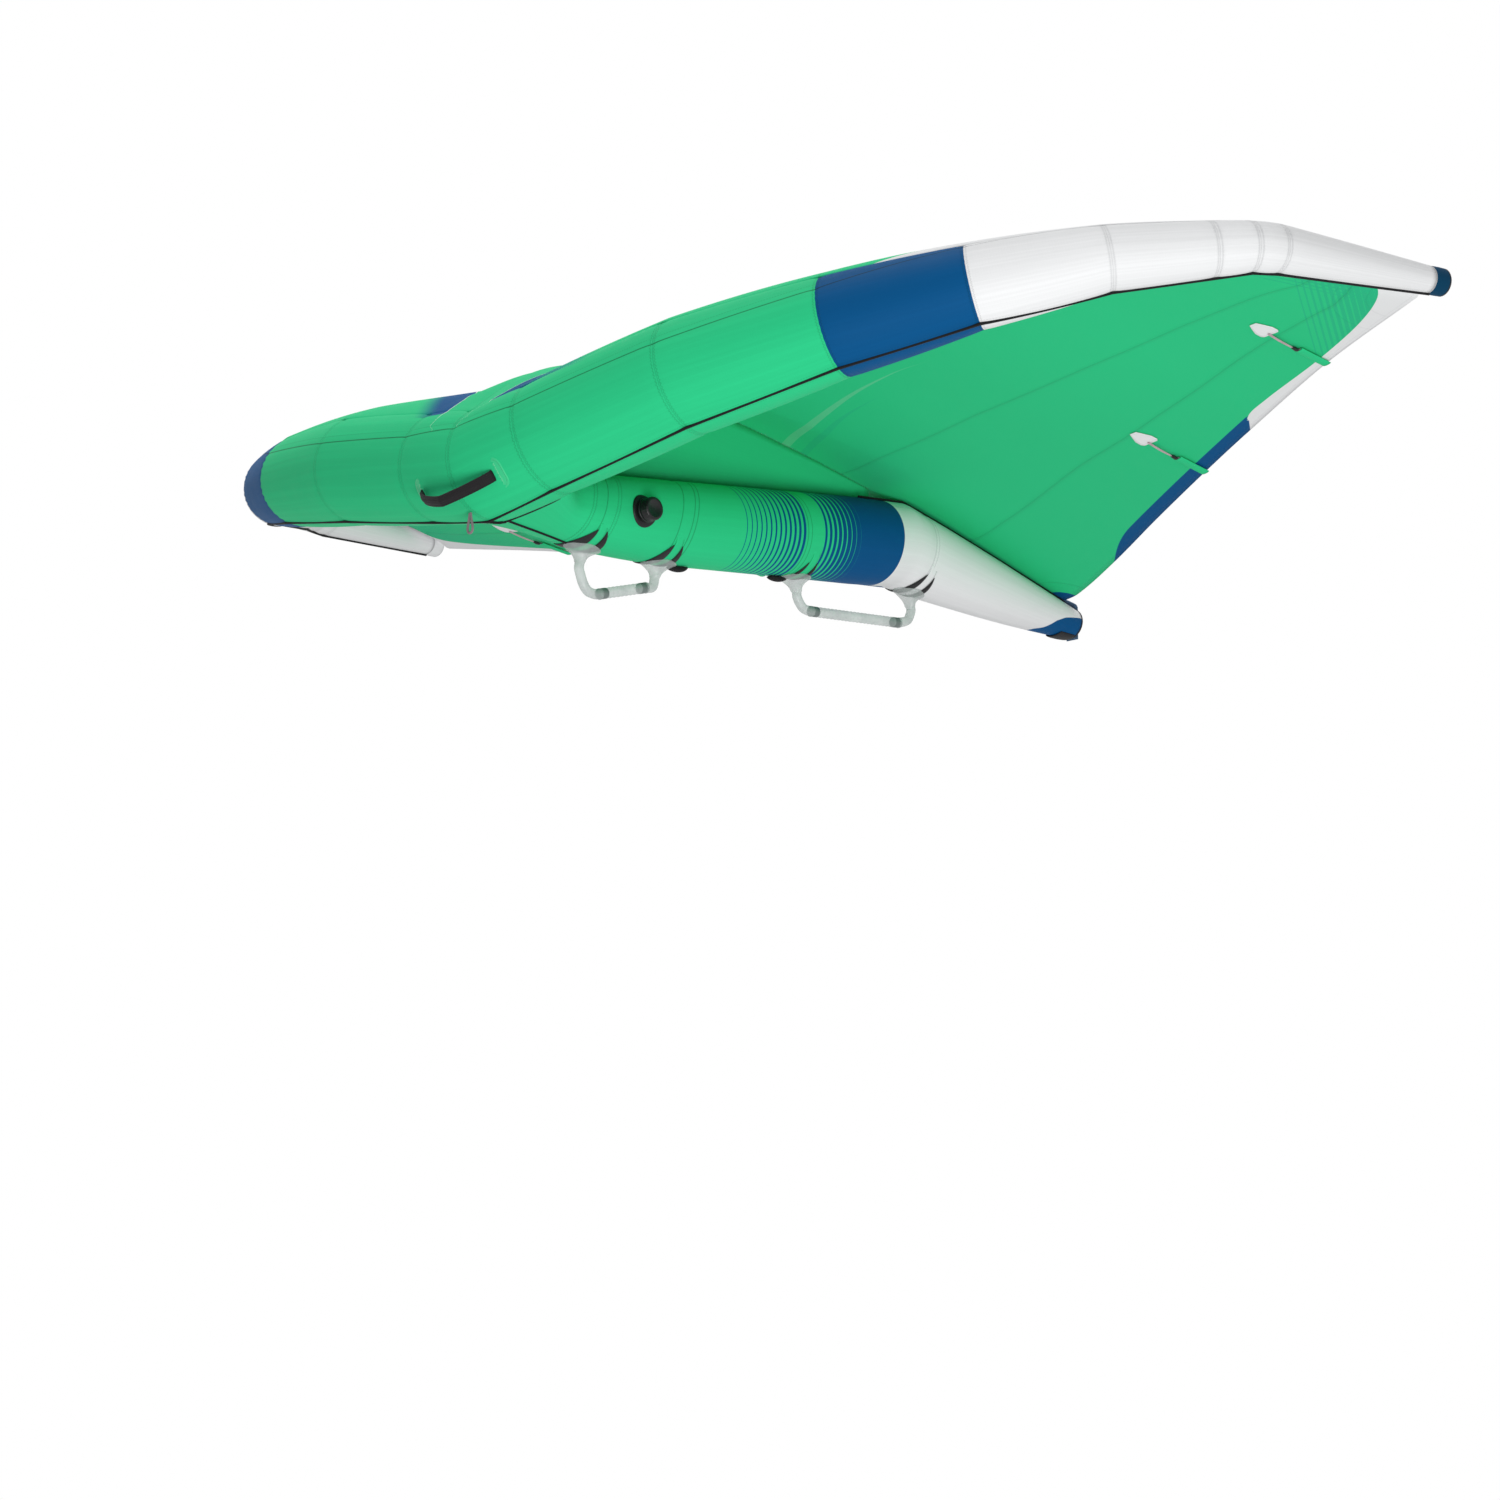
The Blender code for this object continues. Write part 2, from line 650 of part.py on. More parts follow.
def strut(bench, hose_hole):
    """The strut's sewn tube, open at its rear end, with its bladder inside."""
    tube_body = tube_cutter(bench)
    hole_profile = ((0.0, CUT_OVERRUN), (VALVE_NECK_RADIUS + RUNNING_GAP, CUT_OVERRUN),
                    (VALVE_NECK_RADIUS + RUNNING_GAP, -VALVE_DEPTH), (0.0, -VALVE_DEPTH))
    valve_hole = bench.cutter("valve_hole", turned_mesh("valve_hole", hole_profile, False), valve_axis(), FACING_X)
    turn_it(valve_hole, ROUND_STEPS)

    sleeve = bench.add("strut_sleeve", to_mesh(loft(strut_skin(0.0), closed=True), "strut_sleeve"), "green_cloth")
    thicken(sleeve, STRUT_CLOTH)
    cut(sleeve, tube_body)
    cut(sleeve, valve_hole)

    inset = -(STRUT_CLOTH + BLADDER_GAP)
    backs = [CHORD * STRUT_BLADDER_START_SHARE] + STRUT_BACKS[2:-2] + [CHORD * STRUT_BLADDER_END_SHARE]
    path = [strut_axis(back) for back in backs]
    radii = [strut_radius(back) for back in backs]
    rows = ring_rows(path, path_frames(path), radii, BLADDER_SIDES, inset)
    bladder = bench.add("strut_bladder", to_mesh(loft(rows, closed=True, capped=True), "strut_bladder"),
                        "clear_bladder")
    thicken(bladder, BLADDER_WALL)
    cut(bladder, hose_hole)
    cut(bladder, valve_hole)


def link_hose(bench):
    """The hose between the two bladders, with a collar inside each."""
    front, rear = hose_line()
    bore = HOSE_RADIUS - HOSE_WALL
    near, far = front + HOSE_REACH / 2.0, rear - HOSE_REACH / 2.0
    thick = HOSE_COLLAR_THICKNESS
    profile = ((HOSE_RADIUS, rear), (HOSE_RADIUS, far + thick), (HOSE_COLLAR_RADIUS, far + thick),
               (HOSE_COLLAR_RADIUS, far), (HOSE_RADIUS, far), (HOSE_RADIUS, near), (HOSE_COLLAR_RADIUS, near),
               (HOSE_COLLAR_RADIUS, near - thick), (HOSE_RADIUS, near - thick), (HOSE_RADIUS, front),
               (bore, front), (bore, rear))
    facing_back = Vector((0.0, 1.0, 0.0)).to_track_quat("Z", "X")
    hose = bench.add("link_hose", turned_mesh("link_hose", profile, True), "clear_bladder",
                     (0.0, 0.0, -HOSE_DROP), facing_back)
    turn_it(hose, SMALL_STEPS)


def valve(bench):
    """The welded flange, the insert with its bayonet, the cap, and the flap that keeps the air in."""
    seat = valve_axis()
    outer = VALVE_FLANGE_RADIUS
    inner = VALVE_NECK_RADIUS + RUNNING_GAP
    half = STRUT_RADIUS / 2.0
    ring = ((outer, half), (outer, -half), (inner, -half), (inner, half))
    flange = bench.add("valve_flange", turned_mesh("valve_flange", ring, True), "black_rubber", seat, FACING_X)
    turn_it(flange, ROUND_STEPS)
    skin_rows = strut_skin(CLOTH_GAP + VALVE_FLANGE_THICKNESS)[:6]
    skin = bench.cutter("flange_skin", to_mesh(loft(skin_rows, closed=True), "flange_skin"))
    thicken(skin, VALVE_FLANGE_THICKNESS)
    cut(flange, skin, "INTERSECT")

    rim_low = CLOTH_GAP + VALVE_FLANGE_THICKNESS + VALVE_STANDOFF
    rim_top = rim_low + VALVE_RIM_THICKNESS
    neck = VALVE_NECK_RADIUS
    lip = VALVE_BORE + (neck - VALVE_BORE) / 2.0
    profile = ((VALVE_BORE, rim_top), (VALVE_RIM_RADIUS, rim_top), (VALVE_RIM_RADIUS, rim_low), (neck, rim_low),
               (neck, -VALVE_DEPTH + VALVE_RIM_THICKNESS), (lip, -VALVE_DEPTH), (VALVE_BORE, -VALVE_DEPTH))
    insert = bench.add("valve_insert", turned_mesh("valve_insert", profile, True), "black_plastic", seat, FACING_X)
    turn_it(insert, ROUND_STEPS)

    low = rim_top + SEAT_GAP
    top = low + VALVE_CAP_HEIGHT
    radius, wall = VALVE_CAP_RADIUS, VALVE_CAP_WALL
    chamfer = wall * 0.8
    profile = ((0.0, top), (radius - chamfer, top), (radius, top - chamfer), (radius, low), (radius - wall, low),
               (radius - wall, top - wall), (0.0, top - wall))
    cap = bench.add("valve_cap", turned_mesh("valve_cap", profile, False), "black_plastic", seat, FACING_X)
    turn_it(cap, ROUND_STEPS)

    flap_radius = lip - RUNNING_GAP
    thick = VALVE_FLAP_THICKNESS
    profile = ((0.0, 0.0), (flap_radius, 0.0), (flap_radius, -thick), (0.0, -thick))
    hinge = bench.pivot("valve_flap_hinge", seat + Vector((-VALVE_DEPTH - SEAT_GAP, 0.0, flap_radius)))
    flap = bench.add("valve_flap", turned_mesh("valve_flap", profile, False), "black_rubber",
                     (0.0, 0.0, -flap_radius), FACING_X, hinge)
    turn_it(flap, ROUND_STEPS)


def ellipse_row(centre, along, half_width, half_depth, sides):
    """A ring of points square to a direction in the plane x = 0: its width along X, its depth across it."""
    across = Vector((1.0, 0.0, 0.0))
    depth = along.cross(across).normalized()
    return [centre + across * (math.cos(a) * half_width) + depth * (math.sin(a) * half_depth)
            for a in (math.tau * j / sides for j in range(sides))]


def leg_rows(foot_back, bar_end, other_end):
    """The sections of a handle's leg, from inside the strut down to the end of its spigot."""
    outward = (bar_end - other_end).normalized()
    ground = strut_surface(foot_back, 0.0)
    up, _ = path_frames([strut_surface(foot_back - FOOT_WALL, 0.0), strut_surface(foot_back + FOOT_WALL, 0.0)])[0]
    down = -up
    corner = bar_end + outward * LEG_BEND
    rows = [ellipse_row(ground - down * FOOT_HALF_WIDTH / 2.0, down, FOOT_HALF_WIDTH, FOOT_HALF_LENGTH, SMALL_STEPS),
            ellipse_row(ground + down * FOOT_WALL, down, FOOT_HALF_WIDTH, FOOT_HALF_LENGTH, SMALL_STEPS)]
    neck = ground + down * FOOT_FLARE
    neck = Vector((0.0, between(neck.y, corner.y, FLARE_LEAN_SHARE), neck.z))
    for share in FLARE_SHARES:
        ease = (1.0 - share) ** 2
        centre = (ground + down * FOOT_WALL).lerp(neck, share)
        rows.append(ellipse_row(centre, down, between(LEG_RADIUS, FOOT_HALF_WIDTH, ease * FLARE_EDGE_SHARE),
                                between(LEG_RADIUS, FOOT_HALF_LENGTH, ease * FLARE_EDGE_SHARE), SMALL_STEPS))
    turn_start = neck.lerp(corner, LEG_STRAIGHT_SHARE)
    for i in range(1, LEG_BEND_STEPS + 1):
        share = i / LEG_BEND_STEPS
        left = 1.0 - share
        centre = turn_start * left ** 2 + corner * (2.0 * share * left) + bar_end * share ** 2
        along = ((corner - turn_start) * left + (bar_end - corner) * share).normalized()
        radius = between(LEG_RADIUS, BAR_RADIUS, share)
        rows.append(ellipse_row(centre, along, radius, radius, SMALL_STEPS))
    spigot = BAR_BORE * math.cos(math.pi / SMALL_STEPS) - RUNNING_GAP
    rows.append(ellipse_row(bar_end, -outward, spigot, spigot, SMALL_STEPS))
    rows.append(ellipse_row(bar_end - outward * SPIGOT_LENGTH, -outward, spigot, spigot, SMALL_STEPS))
    return rows


FLARE_SHARES = (0.15, 0.35, 0.6, 0.8, 1.0)
FLARE_EDGE_SHARE = 0.95
FLARE_LEAN_SHARE = 0.35
LEG_STRAIGHT_SHARE = 0.30
LEG_BEND_STEPS = 7


def handles(bench):
    """The two handles: a hollow grip bar on the spigots of two legs, each with a foot on the strut."""
    seat = bench.cutter("foot_seat", to_mesh(
        loft(strut_skin(CLOTH_GAP * 2.0 + PAD_THICKNESS), closed=True, capped=True), "foot_seat"))
    for name, sizes in HANDLES.items():
        ends = [Vector((0.0, back, up)) for back, up in sizes["bar"]]
        for where, foot, end, other in (("front", sizes["feet"][0], ends[0], ends[1]),
                                        ("rear", sizes["feet"][1], ends[1], ends[0])):
            rows = leg_rows(foot, end, other)
            bm = loft(rows, closed=True, capped=True)
            bmesh.ops.recalc_face_normals(bm, faces=bm.faces)
            leg = bench.add(f"{name}_handle_{where}_leg", to_mesh(bm, "leg"), "pale_moulding")
            cut(leg, seat)
        handle_bar(bench, name, ends)
        for where, foot in zip(("front", "rear"), sizes["feet"]):
            foot_dressing(bench, f"{name}_handle_{where}", foot)


def handle_bar(bench, name, ends):
    """A grip bar: a tube with a low wave for each finger."""
    span = ends[1] - ends[0]
    length = span.length - 2.0 * SEAT_GAP
    waves = max(2, round(length / BAR_WAVE_LENGTH))
    steps = waves * 4
    outer = [(BAR_RADIUS + BAR_WAVE * 0.5 * (1.0 - math.cos(math.tau * waves * i / steps)), length * (1.0 - i / steps))
             for i in range(steps + 1)]
    profile = outer + [(BAR_BORE, 0.0), (BAR_BORE, length)]
    start = ends[0] + span.normalized() * SEAT_GAP
    bar = bench.add(f"{name}_handle_bar", turned_mesh("bar", profile, True), "pale_moulding", start,
                    span.to_track_quat("Z", "X"))
    turn_it(bar, SMALL_STEPS)


def strut_strip(bench, name, finish, edges, half_angle, steps, gap, thickness):
    """A strip that lies round the strut's underside: edges gives its front and rear at a share of the angle."""
    rows = []
    for i in range(steps + 1):
        share = 2.0 * i / steps - 1.0
        front, rear = edges(abs(share))
        angle = half_angle * share
        rows.append([strut_surface(back, angle, gap) for back in (rear, front)])
    bm = loft(rows)
    point_down(bm)
    strip = bench.add(name, to_mesh(bm, name), finish)
    thicken(strip, thickness, 1.0)
    return strip


def foot_dressing(bench, name, foot):
    """What lies between a foot and the strut: the sewn strap and the two rubber crescents beside it."""
    half_strap = STRAP_WIDTH / 2.0
    strut_strip(bench, f"{name}_strap", "green_cloth", lambda share: (foot - half_strap, foot + half_strap),
                STRAP_HALF_ANGLE, STRIP_STEPS * 2, CLOTH_GAP, STRAP_THICKNESS)
    near = half_strap + SEAT_GAP * 4.0

    def front_pad(share):
        width = between(PAD_FRONT_WIDTH, PAD_TIP_WIDTH, share ** 2)
        return foot - near - width, foot - near

    def rear_pad(share):
        width = between(PAD_REAR_WIDTH, PAD_TIP_WIDTH, share ** 2)
        return foot + near, foot + near + width

    strut_strip(bench, f"{name}_pad_front", "black_rubber", front_pad, PAD_HALF_ANGLE, STRIP_STEPS, CLOTH_GAP,
                PAD_THICKNESS)
    strut_strip(bench, f"{name}_pad_rear", "black_rubber", rear_pad, PAD_HALF_ANGLE, STRIP_STEPS, CLOTH_GAP,
                PAD_THICKNESS)


STRIP_STEPS = 12


def line_tabs(bench):
    """The two small webbing loops under the strut."""
    for i, back in enumerate(TAB_PLACES):
        half = TAB_LENGTH / 2.0
        rows = []
        for j in range(TAB_STEPS + 1):
            share = j / TAB_STEPS
            bow = math.sin(math.pi * share) ** TAB_BOW_POWER
            centre = strut_surface(back - half + TAB_LENGTH * share, 0.0, CLOTH_GAP + TAB_RADIUS)
            centre.z -= TAB_DROP * bow
            rows.append(ellipse_row(centre, Vector((0.0, 1.0, 0.0)), TAB_WIDTH / 2.0, TAB_RADIUS, 8))
        bm = loft(rows, closed=True, capped=True)
        bmesh.ops.recalc_face_normals(bm, faces=bm.faces)
        bench.add(f"line_tab_{i + 1}", to_mesh(bm, "line_tab"), "black_webbing")


TAB_STEPS = 8
TAB_BOW_POWER = 0.7


def grab_handle(bench):
    """The webbing handle at the nose, bowed away from the tube, on a sewn patch at each end."""
    angle = 90.0 + GRAB_BELOW_FRONT
    end_place = GRAB_HALF_SPAN / RIGHT_TUBE[1].x
    lift = CLOTH_GAP * 2.0 + GRAB_PATCH_THICKNESS + GRAB_HALF_THICKNESS
    rows = []
    for i in range(GRAB_STEPS + 1):
        share = 2.0 * i / GRAB_STEPS - 1.0
        place = end_place * share
        bow = GRAB_BOW * (1.0 - share ** 2) ** GRAB_BOW_POWER
        centre = tube_surface(place, angle, lift + bow)
        out = tube_out(place, angle)
        round_it = Vector((1.0, 0.0, 0.0)).cross(out).normalized()
        rows.append([centre + out * (math.cos(a) * GRAB_HALF_THICKNESS) + round_it * (math.sin(a) * GRAB_HALF_WIDTH)
                     for a in (math.tau * j / GRAB_SIDES for j in range(GRAB_SIDES))])
    bm = loft(rows, closed=True, capped=True)
    bmesh.ops.recalc_face_normals(bm, faces=bm.faces)
    bench.add("grab_handle", to_mesh(bm, "grab_handle"), "black_webbing")
    half = GRAB_PATCH_WIDTH / 2.0 / RIGHT_TUBE[1].x
    for side, sign in (("left", -1.0), ("right", 1.0)):
        rows = []
        for place in (end_place * sign - half, end_place * sign + half):
            rows.append([tube_surface(place, between(angle - GRAB_PATCH_HALF_ANGLE, angle + GRAB_PATCH_HALF_ANGLE,
                                                     j / GRAB_PATCH_STEPS), CLOTH_GAP)
                         for j in range(GRAB_PATCH_STEPS + 1)])
        patch = bench.add(f"grab_handle_patch_{side}", to_mesh(loft(rows), "patch"), "green_cloth")
        thicken(patch, GRAB_PATCH_THICKNESS, 1.0)


GRAB_STEPS = 14
GRAB_SIDES = 10
GRAB_BOW_POWER = 0.8
GRAB_PATCH_STEPS = 5


def leash_loop(bench):
    """The cord loop under the nose, hanging from its two roots."""
    root = tube_surface(0.0, 90.0 + LEASH_BELOW_FRONT, CLOTH_GAP + LEASH_RADIUS)
    curve = bpy.data.curves.new("leash_loop", "CURVE")
    curve.dimensions = "3D"
    curve.bevel_depth = LEASH_RADIUS
    curve.bevel_resolution = 2
    curve.use_fill_caps = True
    line = curve.splines.new("POLY")
    points = []
    for i in range(LEASH_STEPS + 1):
        turn = math.pi * i / LEASH_STEPS
        points.append((-LEASH_HALF_WIDTH * math.cos(turn), 0.0,
                       -(LEASH_DROP - LEASH_HALF_WIDTH) - LEASH_HALF_WIDTH * math.sin(turn)))
    points = [(-LEASH_HALF_WIDTH, 0.0, 0.0)] + points + [(LEASH_HALF_WIDTH, 0.0, 0.0)]
    line.points.add(len(points) - 1)
    for spot, point in zip(line.points, points):
        spot.co = (*point, 1.0)
    bench.add("leash_loop", curve, "pale_cord", root)


LEASH_STEPS = 12


def strut_end(bench):
    """The rear end of the strut: the rubber lip, the pad below it and the strap that folds over it."""
    end, (up, side), radius = STRUT_PATH[-1], STRUT_FRAMES[-1], STRUT_RADII[-1]
    along = side.cross(up).normalized() * -1.0
    if along.y < 0.0:
        along = -along
    middle = radius - STRUT_CLOTH / 2.0
    profile = [(middle + LIP_RADIUS * math.cos(a), LIP_RADIUS * math.sin(a))
               for a in (math.pi / 2.0 - math.tau * i / LIP_SIDES for i in range(LIP_SIDES))]
    place = end + along * (LIP_RADIUS + SEAT_GAP)
    lip = bench.add("strut_end_lip", turned_mesh("strut_end_lip", profile, True), "black_rubber", place,
                    along.to_track_quat("Z", "X"))
    turn_it(lip, ROUND_STEPS)

    rear = STRUT_BACKS[-1] - END_PAD_INSET

    def edges(share):
        return rear - END_PAD_LENGTH * (1.0 - END_PAD_TAPER_SHARE * share ** 2), rear

    strut_strip(bench, "strut_end_pad", "black_rubber", edges, END_PAD_HALF_ANGLE, 8, CLOTH_GAP, END_PAD_THICKNESS)

    top_start = CHORD - END_STRAP_RUN
    standoff = CLOTH_GAP + END_STRAP_STANDOFF
    back_face = place.y + LIP_RADIUS + standoff
    hinge = Vector((0.0, top_start, middle_height(top_start) + standoff))
    bottom = end.z - radius - LIP_RADIUS
    corner_top = Vector((0.0, back_face, middle_height(STRUT_BACKS[-1]) + LIP_RADIUS + standoff))
    outline = [Vector((0.0, 0.0, 0.0)), Vector((0.0, CHORD, middle_height(CHORD) + standoff)) - hinge,
               corner_top - hinge,
               Vector((0.0, back_face + END_STRAP_STANDOFF, corner_top.z - END_STRAP_STANDOFF * 2.0)) - hinge,
               Vector((0.0, back_face + END_STRAP_STANDOFF, bottom)) - hinge]
    half = END_STRAP_WIDTH / 2.0
    rows = [[point + Vector((x, 0.0, 0.0)) for point in outline] for x in (half, -half)]
    strap = bench.add("strut_end_strap", to_mesh(loft(rows), "strut_end_strap"), "blue_webbing", hinge)
    thicken(strap, END_STRAP_THICKNESS, 1.0)


LIP_SIDES = 10
END_PAD_TAPER_SHARE = 0.35


def batten_set(bench, name, side, sign, span_share):
    """A batten in its pocket, the line and toggle that pull on it, and the patch the line starts from."""
    end = trailing_edge(span_share)

    def spot(ahead, across, drop):
        point = under_sail(end.x + across, end.y - ahead, drop)
        return Vector((point.x * sign, point.y, point.z))

    label = f"{name}_{side}"
    gap = CLOTH_GAP * 2.5
    rows = []
    for i in range(PATCH_STEPS + 1):
        share = i / PATCH_STEPS
        ahead = between(BATTEN_PATCH_FRONT, BATTEN_PATCH_REAR, share)
        half = between(BATTEN_PATCH_NARROW, BATTEN_PATCH_WIDE, share ** 0.5) / 2.0
        rows.append([spot(ahead, across, gap) for across in (-half, 0.0, half)])
    bm = loft(rows)
    point_down(bm)
    patch = bench.add(f"batten_patch_{label}", to_mesh(bm, "batten_patch"), "white_cloth")
    thicken(patch, BATTEN_PATCH_THICKNESS, 1.0)

    low = BATTEN_LINE_DROP
    start = spot(BATTEN_PATCH_REAR + BATTEN_TOGGLE_LENGTH / 2.0, 0.0, gap + BATTEN_PATCH_THICKNESS + BATTEN_LINE_RADIUS * 2.0)
    near = spot(BATTEN_TOGGLE + BATTEN_TOGGLE_LENGTH, 0.0, low)
    far = spot(BATTEN_TOGGLE, 0.0, low)
    along = (far - near).normalized()
    rows = []
    for centre, radius in ((start, BATTEN_LINE_RADIUS), (near, BATTEN_LINE_RADIUS), (near, BATTEN_TOGGLE_RADIUS),
                           (far, BATTEN_TOGGLE_RADIUS), (far, BATTEN_LINE_RADIUS),
                           (far + along * BATTEN_LINE_TAIL, BATTEN_LINE_RADIUS)):
        rows.append(ellipse_row(centre, along, radius, radius, 8))
    bm = loft(rows, closed=True, capped=True)
    bmesh.ops.recalc_face_normals(bm, faces=bm.faces)
    bench.add(f"batten_line_{label}", to_mesh(bm, "batten_line"), "black_webbing")

    drop = gap + BATTEN_SLEEVE_WALL + CLOTH_GAP + BATTEN_THICKNESS / 2.0
    width, half_height = BATTEN_SLEEVE_WIDTH / 2.0, BATTEN_THICKNESS / 2.0 + CLOTH_GAP / 2.0
    rows = []
    for ahead in (BATTEN_SLEEVE_START, BATTEN_SLEEVE_START / 2.0, BATTEN_SLEEVE_END):
        rows.append([spot(ahead, across, drop + up) for across, up in
                     ((-width, 0.0), (-width * 0.8, -half_height), (width * 0.8, -half_height), (width, 0.0),
                      (width * 0.8, half_height), (-width * 0.8, half_height))])
    bm = loft(rows, closed=True)
    bmesh.ops.recalc_face_normals(bm, faces=bm.faces)
    sleeve = bench.add(f"batten_sleeve_{label}", to_mesh(bm, "batten_sleeve"), "green_cloth")
    thicken(sleeve, BATTEN_SLEEVE_WALL, 1.0)

    rows = []
    width, half_height = BATTEN_WIDTH / 2.0, BATTEN_THICKNESS / 2.0 - SEAT_GAP
    for ahead in (BATTEN_SLEEVE_START - CLOTH_GAP, BATTEN_SLEEVE_START / 2.0, BATTEN_SLEEVE_END + CLOTH_GAP):
        rows.append([spot(ahead, across, drop + up) for across, up in
                     ((-width, -half_height), (width, -half_height), (width, half_height), (-width, half_height))])
    bm = loft(rows, closed=True, capped=True)
    bmesh.ops.recalc_face_normals(bm, faces=bm.faces)
    bench.add(f"batten_{label}", to_mesh(bm, "batten"), "grey_fibre")


PATCH_STEPS = 2
BATTEN_LINE_TAIL = 0.004


def point_down(bm):
    """Turn an open sheet's faces so that they look down."""
    bm.normal_update()
    if sum(face.normal.z for face in bm.faces) > 0.0:
        bmesh.ops.reverse_faces(bm, faces=bm.faces)


def main():
    """Build every piece of the wing."""
    bench = Bench()
    hose_hole = hose_cutter(bench)
    leading_edge(bench, hose_hole)
    for side, sign in (("left", -1.0), ("right", 1.0)):
        tip(bench, side, sign)
        for name, span_share in BATTEN_SHARES.items():
            batten_set(bench, name, side, sign, span_share)
    sail(bench)
    strut(bench, hose_hole)
    link_hose(bench)
    valve(bench)
    handles(bench)
    line_tabs(bench)
    grab_handle(bench)
    leash_loop(bench)
    strut_end(bench)


main()
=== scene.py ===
"""The looks of a hand-held inflatable wing: its cloth, prints, seams, mouldings and webbing.

Metres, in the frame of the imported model: +X along the span, +Y towards the trailing edge, +Z up. The
shapes are worked out behind, beside and above the middle of the leading edge tube at the nose.
"""
import json
import logging
import math
from bisect import bisect_right
from dataclasses import dataclass
from enum import Enum
from typing import Callable, Iterable, Sequence

import bmesh
import bpy
import numpy as np
from mathutils import Matrix, Vector


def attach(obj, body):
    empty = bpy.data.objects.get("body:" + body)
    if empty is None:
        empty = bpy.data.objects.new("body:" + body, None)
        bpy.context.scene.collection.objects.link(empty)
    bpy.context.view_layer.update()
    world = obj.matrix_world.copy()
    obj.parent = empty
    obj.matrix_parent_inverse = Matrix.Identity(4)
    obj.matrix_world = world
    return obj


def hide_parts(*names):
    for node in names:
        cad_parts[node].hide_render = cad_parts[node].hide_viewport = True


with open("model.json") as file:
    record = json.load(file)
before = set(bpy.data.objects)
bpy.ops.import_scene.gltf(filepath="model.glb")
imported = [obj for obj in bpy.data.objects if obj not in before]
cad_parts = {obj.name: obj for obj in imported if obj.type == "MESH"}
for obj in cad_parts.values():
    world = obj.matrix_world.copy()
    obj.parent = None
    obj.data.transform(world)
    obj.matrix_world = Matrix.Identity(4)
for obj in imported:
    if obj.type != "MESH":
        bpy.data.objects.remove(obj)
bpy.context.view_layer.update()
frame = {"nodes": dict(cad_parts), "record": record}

log = logging.getLogger("wing")

Point = tuple[float, float]
Colour = tuple[float, float, float]
X_AXIS = Vector((1.0, 0.0, 0.0))
Y_AXIS = Vector((0.0, 1.0, 0.0))
Z_AXIS = Vector((0.0, 0.0, 1.0))


def between(low: float, high: float, share: float) -> float:
    """The value a share of the way from one value to another."""
    return low + (high - low) * share


def ease(value: float, low: float, high: float) -> float:
    """A smooth step from 0 at the low value to 1 at the high one."""
    share = min(max((value - low) / (high - low), 0.0), 1.0)
    return share * share * (3.0 - 2.0 * share)


def steps(low: float, high: float, count: int) -> list[float]:
    """Even steps from one value to another, both included."""
    return [between(low, high, i / count) for i in range(count + 1)]


def read(values: Sequence[float], place: float) -> float:
    """A list's value at a place between its entries."""
    index = min(int(place), len(values) - 2)
    return between(values[index], values[index + 1], place - index)


class Table:
    """Rows of numbers that stand at rising keys."""

    def __init__(self, rows: Iterable[Sequence[float]]) -> None:
        """Take the first number of each row as its key."""
        whole = [tuple(row) for row in rows]
        self.keys = [row[0] for row in whole]
        self.rows = [row[1:] for row in whole]

    def find(self, key: float) -> tuple[int, float]:
        """The row before a key, and the share of the way to the next."""
        index = min(max(bisect_right(self.keys, key) - 1, 0), len(self.keys) - 2)
        return index, (key - self.keys[index]) / (self.keys[index + 1] - self.keys[index])

    def straight(self, key: float) -> list[float]:
        """The row at a key, along straight lines."""
        index, share = self.find(key)
        return [between(a, b, share) for a, b in zip(self.rows[index], self.rows[index + 1])]

    def slope(self, index: int, column: int) -> float:
        """The slope of a column's smooth curve at a row."""
        low, high = max(index - 1, 0), min(index + 1, len(self.keys) - 1)
        return (self.rows[high][column] - self.rows[low][column]) / (self.keys[high] - self.keys[low])

    def smooth(self, key: float) -> list[float]:
        """The row at a key, along a smooth curve through the rows."""
        index, share = self.find(key)
        step = self.keys[index + 1] - self.keys[index]
        square, cube = share * share, share ** 3
        return [a * (2.0 * cube - 3.0 * square + 1.0) + self.slope(index, c) * step * (cube - 2.0 * square + share)
                + b * (3.0 * square - 2.0 * cube) + self.slope(index + 1, c) * step * (cube - square)
                for c, (a, b) in enumerate(zip(self.rows[index], self.rows[index + 1]))]


def smooth_line(points: Sequence[Sequence[float]], count: int) -> list[tuple[float, ...]]:
    """A smooth curve through points, with some steps between each two."""
    table = Table((i, *point) for i, point in enumerate(points))
    return [tuple(table.smooth(i / count)) for i in range((len(points) - 1) * count + 1)]


# The leading edge from the nose to the tip, one row a sewn bend:
# share of the half span, of the chord, of the tip's rise, and of the tube's radius
LEADING_EDGE = (
    (0.000, 0.000, 0.000, 1.000), (0.103, 0.011, 0.097, 1.000), (0.325, 0.041, 0.327, 1.000),
    (0.535, 0.093, 0.510, 0.866), (0.696, 0.162, 0.678, 0.709), (0.828, 0.248, 0.830, 0.546),
    (0.907, 0.343, 0.930, 0.464), (0.937, 0.377, 0.959, 0.429), (0.949, 0.407, 0.970, 0.425),
    (1.000, 0.627, 1.000, 0.240),
)
# The sail at each bend: where it ends along the span, the lengths of its two tangents, its rear slope
SAIL = Table((bend, *row) for bend, row in enumerate((
    (0.000, 0.26, 0.47, 0.25), (0.105, 0.25, 0.47, 0.22), (0.320, 0.22, 0.48, 0.17), (0.525, 0.20, 0.50, 0.13),
    (0.680, 0.19, 0.48, 0.12), (0.800, 0.17, 0.45, 0.10), (0.865, 0.15, 0.45, 0.09), (0.900, 0.14, 0.45, 0.08),
    (0.925, 0.14, 0.45, 0.08), (0.967, 0.14, 0.25, 0.06),
)))
